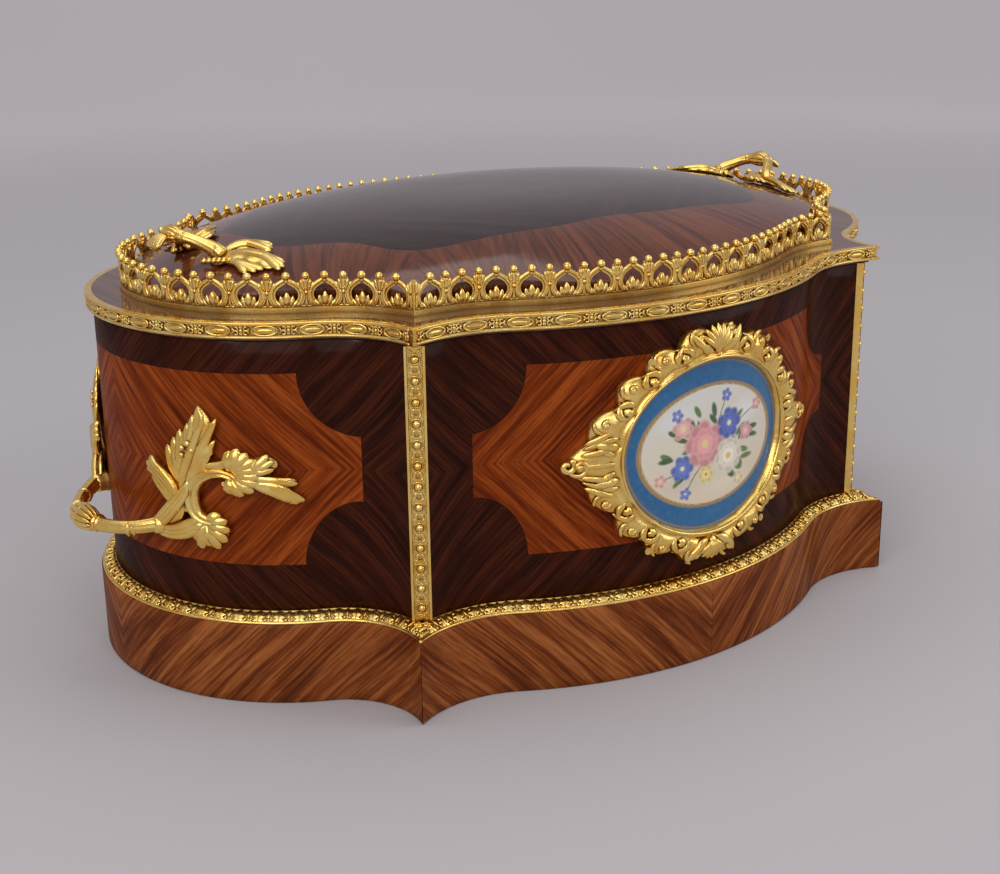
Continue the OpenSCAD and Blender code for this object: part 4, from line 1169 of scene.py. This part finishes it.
def add_plaque():
    """Painted porcelain: a turquoise border, a gold line and flowers on a pale sky.

    The paint is laid in numpy on a grid of rings: each flower is a set of petals, which are ovals
    |R(p - c)| < size about its heart, shaded from the heart to the rim.
    """
    rng = np.random.default_rng(7)
    rows, cols = 112, 300
    share = np.linspace(0.008, 1, rows)[:, None]
    a = circle_angles(cols)
    disc = oval(a, RIM)
    p = np.vstack([(share[..., None] * disc).reshape(-1, 2), [[0, 0]]])
    inner = np.hypot(p[:, 0] / SCENE_X, p[:, 1] / SCENE_Z)
    sky, warm = np.array([0.70, 0.72, 0.68]), np.array([0.76, 0.66, 0.48])
    drift = 0.5 + 0.5 * np.sin(p[:, 0] / 13 + 1.3 * np.sin(p[:, 1] / 9 + 1))
    mix = np.clip(0.55 - p[:, 1] / 50 + 0.25 * drift, 0, 1)[:, None]
    paint = sky * (1 - mix) + warm * mix

    def stroke(mask, colour, strength=1.0):
        nonlocal paint
        m = (np.clip(mask, 0, 1) * strength)[:, None]
        paint = paint * (1 - m) + np.array(colour) * m

    def turned(c, turn):
        d = p - c
        cos, sin = math.cos(turn), math.sin(turn)
        return d[:, 0] * cos + d[:, 1] * sin, -d[:, 0] * sin + d[:, 1] * cos

    def oval_mask(c, size, turn, soft=0.35):
        u, v = turned(c, turn)
        r = np.hypot(u / size[0], v / size[1])
        return np.clip((1 - r) / soft, 0, 1), r

    def twig(points, width, colour):
        q = along_path(points, 60)
        d = np.sqrt(((p[:, None] - q) ** 2).sum(-1)).min(1)
        stroke((width - d) / 0.35, colour)

    def leaf_paint(c, size, turn, colour):
        mask, _ = oval_mask(c, size, turn)
        stroke(mask, colour)
        v = np.abs(turned(c, turn)[1])
        stroke(mask * np.clip((0.3 - v) / 0.25, 0, 1), tuple(k * 1.5 for k in colour), 0.6)

    def flower(c, r, colour, heart, petals):
        layers = (0.62, 0.5, 0.72), (0.36, 0.42, 0.9), (0.12, 0.34, 1.08)
        for ring, (far, size, dark) in enumerate(layers):
            for k in range(petals):
                t = 2 * math.pi * (k + 0.5 * ring) / petals + rng.uniform(-0.15, 0.15)
                at = np.array(c) + r * far * np.array([math.cos(t), math.sin(t)])
                mask, q = oval_mask(at, (r * size, r * size * 0.85), t)
                stroke(mask, [min(1, k2 * dark) for k2 in colour])
                stroke(mask * np.clip((q - 0.55) / 0.3, 0, 1),
                       [min(1, k2 * 1.25 + 0.05) for k2 in colour], 0.55)
        mask, _ = oval_mask(c, (r * 0.22, r * 0.22), 0)
        stroke(mask, heart)

    for c, size, colour in (((-16, -15), (15, 7), (0.62, 0.56, 0.47)),
                            ((9, -19), (17, 6), (0.84, 0.76, 0.60)),
                            ((20, 12), (13, 8), (0.86, 0.87, 0.88)),
                            ((-18, 14), (14, 7), (0.76, 0.80, 0.84))):
        stroke(oval_mask(c, size, 0.15, 1.0)[0], colour, 0.75)
    green, dark_green = (0.10, 0.20, 0.05), (0.045, 0.11, 0.04)
    twig([(-27, -12), (-12, -8), (2, -1), (16, 8), (28, 13)], 0.55, dark_green)
    twig([(-19, 15), (-8, 7), (2, -1), (10, -11), (17, -19)], 0.5, dark_green)
    twig([(2, -1), (4, 11), (8, 21)], 0.45, dark_green)
    twig([(2, -1), (-9, -12), (-14, -20)], 0.45, dark_green)
    for _ in range(44):
        t = rng.uniform(0, 2 * math.pi)
        far = rng.uniform(9, 23)
        c = (1 + far * 1.2 * math.cos(t), -1 + far * 0.82 * math.sin(t))
        leaf_paint(c, (rng.uniform(2.8, 4.8), rng.uniform(1.1, 1.9)), t + rng.uniform(-0.7, 0.7),
                   green if rng.random() < 0.6 else dark_green)
    # flowers: middle, radius, petals, heart and number of petals
    for row in (((-4, 1), 10.6, (0.80, 0.36, 0.36), (0.86, 0.66, 0.26), 8),
                ((10, -7), 8.2, (0.88, 0.80, 0.64), (0.80, 0.55, 0.16), 8),
                ((10, 8), 7.0, (0.10, 0.16, 0.52), (0.88, 0.80, 0.40), 7),
                ((-16, -8), 5.8, (0.13, 0.20, 0.58), (0.90, 0.82, 0.45), 6),
                ((-16, 10), 5.4, (0.83, 0.48, 0.42), (0.90, 0.75, 0.35), 6),
                ((21, 2), 4.4, (0.78, 0.40, 0.42), (0.90, 0.75, 0.35), 5),
                ((-3, -13), 4.2, (0.90, 0.72, 0.30), (0.55, 0.28, 0.08), 6)):
        flower(*row)
    for c, colour in (((28, 13), (0.80, 0.40, 0.38)), ((8, 21), (0.16, 0.22, 0.58)),
                      ((17, -19), (0.85, 0.70, 0.4)), ((-27, -12), (0.82, 0.45, 0.40)),
                      ((-14, -20), (0.18, 0.25, 0.6)), ((-19, 16), (0.2, 0.26, 0.6))):
        flower(c, 3.0, colour, (0.9, 0.8, 0.4), 5)
    edge = np.hypot(p[:, 0] / SIGHT_X, p[:, 1] / SIGHT_Z)
    shade = 1 + 0.06 * np.sin(np.arctan2(p[:, 1], p[:, 0]) * 3)
    blue = np.array([0.006, 0.125, 0.31]) * shade[:, None]
    border = np.clip((inner - 1.0) / 0.02, 0, 1)[:, None]
    paint = paint * (1 - border) + blue * border
    stroke((0.036 - np.abs(inner - 1.03)) / 0.01, (0.36, 0.235, 0.085))
    stroke((0.006 - np.abs(inner - 1.012)) / 0.006, (0.62, 0.48, 0.24))
    stroke(np.exp(-((edge - 0.985) / 0.012) ** 2), (0.36, 0.23, 0.08), 0.8)
    front = np.c_[p, 3.0 + 0.5 * (1 - np.clip(edge, 0, 1) ** 2)]
    back = 0.07
    rings = np.concatenate([front[:-1].reshape(rows, cols, 3), [np.c_[disc, np.full(cols, back)]]])
    bare = np.tile([0.7, 0.7, 0.68], (cols, 1))
    pile = Pile()
    pile.tube(shifted(SIDES["front"].bowed(0), [0, PLAQUE_Z, 0]), rings,
              [front[-1], [0, 0, back]], order=-1,
              paint=np.vstack([paint[:-1], bare, paint[-1:], bare[:1]]))
    obj = pile.mesh("plaque.painting", PORCELAIN, "case", "porcelain")
    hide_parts("plaque")


add_plaque()

# Handles. place is 1 at the right end and -1 at the left.


def rod(pile, path, radius, around, n=30, ribs=0, depth=0.0, twist=0.0):
    """A cast rod along points in space, with closed ends.

    Its section is r(u) (1 + depth cos(ribs (t + twist u))) at angle t about the curve.
    """
    p = along_path(path, n)
    u = np.linspace(0, 1, n)
    tangent = np.gradient(p, axis=0)
    tangent /= np.linalg.norm(tangent, axis=1)[:, None]
    side = np.cross(tangent, [0, 0, 1.0])
    side /= np.linalg.norm(side, axis=1)[:, None]
    up = np.cross(side, tangent)
    t = circle_angles(around)
    r = spread(radius, u) * np.clip(np.minimum(u, 1 - u) * n / 2.0, 0.05, 1) ** 0.5
    r = r[:, None] * (1 + depth * np.cos(ribs * (t + twist * u[:, None])))
    rings = (p[:, None] + side[:, None] * (r * np.cos(t))[..., None]
             + up[:, None] * (r * np.sin(t))[..., None])
    pile.tube(flat, rings, [p[0], p[-1]], order=-1)


def fan(unit, root, tips, width, height, lift, n=12):
    """Ribs that spread in pairs from a root to each tip, highest in the middle."""
    for tip in tips:
        mid = ((root[0] + tip[0]) / 2, (root[1] + tip[1]) / 2)
        path = [(*root, lift[0]), (*mid, lift[1]), (*tip, lift[2])]
        pair(unit, path, width, height, n, crease=0.25)


def bead_pair(unit, s, z, d, r, **settings):
    """A bead and its mirror image about s = 0."""
    for way in (-1, 1):
        bead(unit, flat, (way * s, z, d), r, **settings)


def end_handle_unit():
    """Both halves of an end handle as (y, z, d) on the wall, without the bail."""
    u = Pile()
    # plume: a wide blade with ribs that end in separate tips
    pair(u, [(42, 87, 0.5), (43.5, 95, 1.5), (46, 104, 2.0), (48.5, 113, 2.2), (51.5, 121, 1.6),
             (51, 130.5, 1.2)],
         [2.8, 5.4, 8.2, 7.8, 4.6, 1.0], [2.6, 2.8, 2.8, 2.6, 2.2, 1.4], 52, around=16, lobes=4,
         lobe_depth=0.22, crease=0.3)
    pair(u, [(42, 88, 2), (43.5, 98, 3.2), (47, 108, 4.2), (50.5, 118, 3.6), (52.6, 125, 2.6),
             (51, 130, 1.8)],
         [1.2, 1.6, 1.8, 1.6, 1.2, 0.6], [1.5, 1.8, 1.8, 1.5, 1.0], 34, around=10)
    fan(u, (42.6, 92), [(37.3, 112.2), (40.4, 115.8), (43.4, 119.6)],
        [1.2, 2.2, 2.2, 1.5], [1.6, 2.2, 1.9], (1.6, 2.8, 2.0), n=18)
    fan(u, (46.5, 106), [(46.6, 122.6), (49.0, 126.4)],
        [1.0, 1.7, 1.1], [1.4, 1.9, 1.4], (2.0, 3.0, 2.0), n=14)
    fan(u, (44.5, 96), [(56.3, 116.2), (57.2, 125.4), (54.5, 110.5), (55.4, 121.0)],
        [1.2, 2.2, 2.0, 1.0], [1.6, 2.1, 1.6], (1.6, 2.8, 1.8), n=18)
    for s, z in ((45.0, 112.5), (47.2, 114.6), (48.6, 111.8), (44.6, 109.4)):
        bead_pair(u, s, z, 5.0, 1.35, squash=0.8)
    # curled leaf at the root
    for lean, tip in ((2.6, (28.4, 106.2, 2.2)), (0.9, (26.4, 103.2, 2.8)),
                      (-0.9, (26.6, 100.4, 2.8)), (-2.6, (29.0, 98.0, 2.2))):
        curl = [(42.5, 84.0 + 0.3 * lean, 2.0), (40.0 + 0.5 * lean, 89.5 + 0.5 * lean, 3.4),
                (36.0 + 0.4 * lean, 96.0 + lean, 4.0), (31.0, 100.6 + lean, 3.6), tip]
        pair(u, curl, [1.4, 1.8, 1.9, 1.9, 1.6], [2.0, 2.8, 2.8, 2.2], 30, around=12, crease=0.25)
    # band of leaf that wraps the foot of the bail
    for lean in (-1.3, 0.0, 1.3):
        wrap = [(31 + 0.4 * lean, 76.5 - lean, 5.2), (35 + 0.6 * lean, 80.3 - lean, 5.2),
                (39.5 + 0.8 * lean, 86 - 0.8 * lean, 4.6),
                (44 + 0.6 * lean, 92.5 - 0.5 * lean, 3.8), (46, 98, 3)]
        pair(u, wrap, [1.5, 1.7, 1.6, 1.3, 0.7], [2.2, 2.4, 2.0, 1.5], 26, around=10, crease=0.2)
    for lean in (-1.7, 0.0, 1.7):
        pair(u, [(31, 75.0 + lean, 4.4), (38, 74.2 + lean, 4.2), (44, 76.0 + 1.2 * lean, 3.4),
                 (49.5, 79.6 + 1.2 * lean, 2.4)],
             [1.6, 1.9, 2.3, 1.8], [2.2, 2.4, 2.4, 2.0], 22, around=10, crease=0.25)
    pair(u, [(33, 76, 3), (38, 82, 2.6), (42, 89, 2.2)], [3.6, 4.8, 2.6], [2.4, 2.6, 2.2], 16,
         around=12)
    # scroll: a double line that runs from the foot round to the curl under the shell
    scroll = [(55, 80.6), (51, 81.0), (48, 83.2), (46.4, 87.5), (46.6, 93), (49.2, 98.2),
              (53.6, 101.4), (58.2, 102.2), (61.4, 100.6), (61.4, 98.0), (59.2, 97.6), (58.6, 99.2)]
    pair(u, [(*p, 2.2) for p in scroll], [1.8, 2.6, 2.9, 2.9, 2.7, 2.4, 2.0, 1.5, 1.2],
         [2.6, 3.1, 3.1, 2.8, 2.4], 64, around=24, crease=0.55)
    pair(u, [(44.5, 83, 1.4), (43.2, 88.5, 1.6), (44.6, 96.5, 1.6), (49.5, 102.6, 1.6),
             (56, 104.6, 1.6), (61.4, 107.6, 1.4)],
         [3.0, 3.2, 3.2, 3.0, 2.6, 1.6], [2.2, 2.6, 2.4, 2.2, 1.8], 40, around=20, crease=0.45)
    # shell, its second lobe and the leaf that trails from it
    bead_pair(u, 64.6, 102.4, 0.9, 7.4, rows=8, cols=24, squash=0.26)
    bead_pair(u, 70.2, 106.2, 0.9, 3.6, rows=8, cols=18, squash=0.4)
    bead_pair(u, 52.2, 75.6, 0.9, 6.6, rows=8, cols=24, squash=0.28)
    fan(u, (60.6, 101.8), [(60.9, 112.6), (63.4, 113.6), (66.0, 111.8), (68.0, 109.0),
                           (69.4, 105.4), (70.0, 101.2), (69.3, 97.2), (67.2, 93.8), (63.8, 91.9),
                           (60.4, 93.0)],
        [0.9, 1.7, 2.3, 1.7], [1.4, 2.2, 2.4, 1.8], (1.4, 3.2, 2.2), n=14)
    fan(u, (66.5, 102.5), [(69.2, 109.2), (71.4, 110.9), (72.8, 108.4), (72.8, 104.6)],
        [0.9, 1.5, 1.2], [1.5, 1.8, 1.3], (2.4, 3.2, 2.0))
    for tip in ((77.6, 99.0), (77.9, 97.2)):
        pair(u, [(67, 100.4, 2.4), (72.6, 99.4, 2.8), (*tip, 1.4)],
             [2.0, 2.2, 1.5], [1.7, 1.7, 1.1], 14, crease=0.3)
    for k in (-1.5, 0, 1.5):
        pair(u, [(67, 98.4, 2.0), (72.2, 96.2 + 0.8 * k, 2.8), (75.4, 92.8 + 0.8 * k, 2.4),
                 (77.6 + 0.8 * k, 88.4 + 0.6 * abs(k), 1.2)],
             [1.8, 2.2, 1.9, 1.4], [1.8, 1.9, 1.6, 1.2], 20)
    # foot: a shell that opens downwards
    fan(u, (51.4, 80.2), [(44.6, 75.0), (46.6, 70.6), (48.6, 67.3), (51.8, 68.6), (55.4, 68.0),
                          (58.3, 71.4), (59.5, 76.4), (58.9, 81.0), (56.4, 84.4)],
        [0.9, 1.8, 2.4, 1.8], [1.4, 2.3, 2.2, 1.6], (1.8, 3.0, 2.0), n=14)
    return u


def ribbed_knob(pile, axis, ring, ribs):
    """A clasp of ribs about an axis close to Y. ring gives its radius at each point of it."""
    for k in range(ribs):
        t = 2 * math.pi * k / ribs
        out = np.array([math.cos(t), 0, math.sin(t)])
        rod(pile, axis + np.array(ring)[:, None] * out, [0.8, 1.3, 1.6, 1.3, 0.8], 8, n=18)


BAIL_R, BAIL_Z = 108.9, 74.3


def add_bail(pile, place):
    """Bail of an end handle: a reeded rod from foot to foot with a ribbed clasp in the middle."""
    turn = [place, place, 1]
    c = END_C[0]
    half = [(35.5, 93.4, 77.6), (33.0, 96.6, 76.4), (28.6, 100.4, 75.2), (22.0, 104.4, 74.4),
            (14.0, 107.4, 74.0), (6.0, 108.6, 74.2)]

    def at(y, r, z):
        return c + r * math.cos(math.asin(y / r)), y, z

    path = [at(-y, r, z) for y, r, z in half] + [at(y, r, z) for y, r, z in reversed(half)]
    rod(pile, np.array(path) * turn, [3.4, 3.2, 2.9, 2.8, 2.9, 3.3, 3.3, 2.9, 2.8, 2.9, 3.2, 3.4],
        36, n=110, ribs=9, depth=0.055, twist=0.9)
    for way in (-1, 1):
        # the boss that holds the bail off the wall, over the screw
        boss = [at(way * 34.0, r, 76.2) for r in (90.3, 93.6, 97.2, 98.6)]
        rod(pile, np.array(boss) * turn, [4.9, 4.4, 4.3, 3.0], 20, n=20)
        for y, size, slope in ((11.0, 4.0, 0.15), (12.6, 3.5, 0.15), (25.6, 3.7, 0.5),
                               (27.2, 3.3, 0.5)):
            r = np.interp(y, [6.0, 14.0, 22.0, 28.6], [108.6, 107.4, 104.4, 100.4])
            collar = [at(way * (y + k), r - slope * k, BAIL_Z) for k in (-0.8, 0, 0.8)]
            rod(pile, np.array(collar) * turn, [size * 0.8, size, size * 0.8], 20)
    y = np.array([-10.5, -6.0, 0.0, 6.0, 10.5])
    axis = np.stack([c + np.sqrt(BAIL_R**2 - y**2), y, np.full(5, BAIL_Z)], -1) * turn
    ribbed_knob(pile, axis, [2.6, 3.7, 4.2, 3.7, 2.6], 11)
    collar = [(c + BAIL_R, k, BAIL_Z) for k in (-1.2, 0, 1.2)]
    rod(pile, np.array(collar) * turn, [5.3 * 0.85, 5.3, 5.3 * 0.85], 24)


def add_end_handle(name, place):
    pile = Pile()
    pile.repeat(end_handle_unit(), shifted(SIDES[name].bowed(0), [0, 0, 0.35]))
    add_bail(pile, place)
    obj = pile.mesh(f"end.handle.{name}", GILT, "case", "gilt_bronze")
    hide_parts(f"handle_{name}")


def lid_handle_unit():
    """Both halves of a lid handle as (y, x, d) on the dome."""
    u = Pile()
    # leaf towards the middle of the lid
    for tip in ((27.5, 143.0), (30.8, 144.8), (33.2, 147.0)):
        pair(u, [(17.5, 163.5, 1.4), (17.0, 157.5, 3.4), (20.5, 151.0, 3.6), (*tip, 1.8)],
             [1.8, 2.4, 2.2, 1.5], [1.8, 2.2, 2.0, 1.6], 22, around=10, crease=0.25)
    pair(u, [(14, 164.0, 0.6), (15.5, 157.0, 1.6), (20, 151.0, 1.8), (28.5, 145.8, 0.8)],
         [3.0, 4.2, 4.6, 2.6], [2.4, 2.6, 2.4, 1.6], 26, around=12, lobes=3, lobe_depth=0.3)
    # leaf towards the corner
    for tip in ((47.2, 148.2), (50.2, 150.2), (51.0, 152.6)):
        pair(u, [(18.5, 163.0, 2.0), (28.0, 157.0, 3.4), (38.0, 152.6, 3.0), (*tip, 1.4)],
             [1.8, 2.3, 2.2, 1.5], [1.8, 2.2, 2.0, 1.5], 26, around=10, crease=0.25)
    pair(u, [(16, 166.0, 0.6), (26.0, 160.0, 1.4), (36.0, 155.0, 1.4), (46.5, 151.8, 0.6)],
         [3.0, 4.6, 4.8, 2.6], [2.4, 2.6, 2.2, 1.4], 32, around=12, lobes=4, lobe_depth=0.3)
    # outer lobe and the row of beads beside it
    for tip in ((43.5, 160.0), (41.0, 163.4), (44.5, 157.0)):
        pair(u, [(22.0, 163.5, 1.2), (31.0, 162.0, 2.2), (*tip, 1.0)],
             [1.6, 2.2, 1.5], [1.5, 1.9, 1.3], 16, crease=0.25)
    for k in range(7):
        bead_pair(u, 15.0 + 2.2 * k, 169.5 - 1.25 * k, 2.4, 1.7 - 0.06 * k, squash=0.9)
    # shell where the bail springs
    fan(u, (15.0, 165.0), [(9.5, 160.6), (12.0, 157.8), (15.8, 156.6), (10.0, 164.4)],
        [1.0, 1.7, 1.3], [1.4, 2.0, 1.4], (1.6, 3.2, 1.8))
    return u


def add_lid_handle(name, place):
    """A handle on the dome, with a reeded bail, a ribbed clasp and a shell of ribs outside it."""
    turn = [place, place, 1]

    def carry(q):
        y, x, d = q.T
        return np.stack([x, y, lid_height(x, y) + 0.25 + d], -1) * turn

    pile = Pile()
    pile.repeat(lid_handle_unit(), carry, order=-1)
    half = np.array([(162.5, 20.5, 183.6), (164.6, 17.6, 186.0), (168.2, 14.0, 188.4),
                     (172.4, 10.2, 190.6), (175.6, 6.0, 191.9), (176.9, 2.0, 192.3)])
    path = np.vstack([half * [1, -1, 1], half[::-1]])
    rod(pile, path * turn, [3.3, 3.1, 2.7, 2.5, 2.6, 2.9, 2.9, 2.6, 2.5, 2.7, 3.1, 3.3],
        32, n=90, ribs=8, depth=0.06, twist=1.4)
    y = np.array([-6.6, -3.6, 0.0, 3.6, 6.6])
    axis = np.stack([177.0 - 0.03 * y**2, y, 192.2 - 0.012 * y**2], -1) * turn
    ribbed_knob(pile, axis, [1.8, 2.4, 2.7, 2.4, 1.8], 9)
    for way in (-1, 1):
        for y, size in ((7.4, 3.1), (8.8, 2.7), (17.4, 3.5)):
            x, z = (np.interp(y, half[:0:-1, 1], half[:0:-1, k]) for k in (0, 2))
            collar = [(x - 0.6 * k, way * (y + 0.7 * k), z - 0.4 * k) for k in (-1, 0, 1)]
            rod(pile, np.array(collar) * turn, [size * 0.8, size, size * 0.8], 18)
    for k in range(-3, 4):
        t = math.radians(k * 20)
        rib = [(178.6, 1.6 * math.sin(t), 191.8),
               (182.4, 3.6 * math.sin(t), 190.2 + 1.2 * math.cos(t)),
               (186.0 + 1.0 * math.cos(t), 5.6 * math.sin(t), 187.4)]
        rod(pile, np.array(rib) * turn, [0.9, 1.5, 1.3], 10, n=18)
    obj = pile.mesh(f"lid.handle.{name}", GILT, "lid", "gilt_bronze")
    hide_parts(f"lid_handle_{name}")


for name, place in (("right", 1), ("left", -1)):
    add_end_handle(name, place)
    add_lid_handle(name, place)
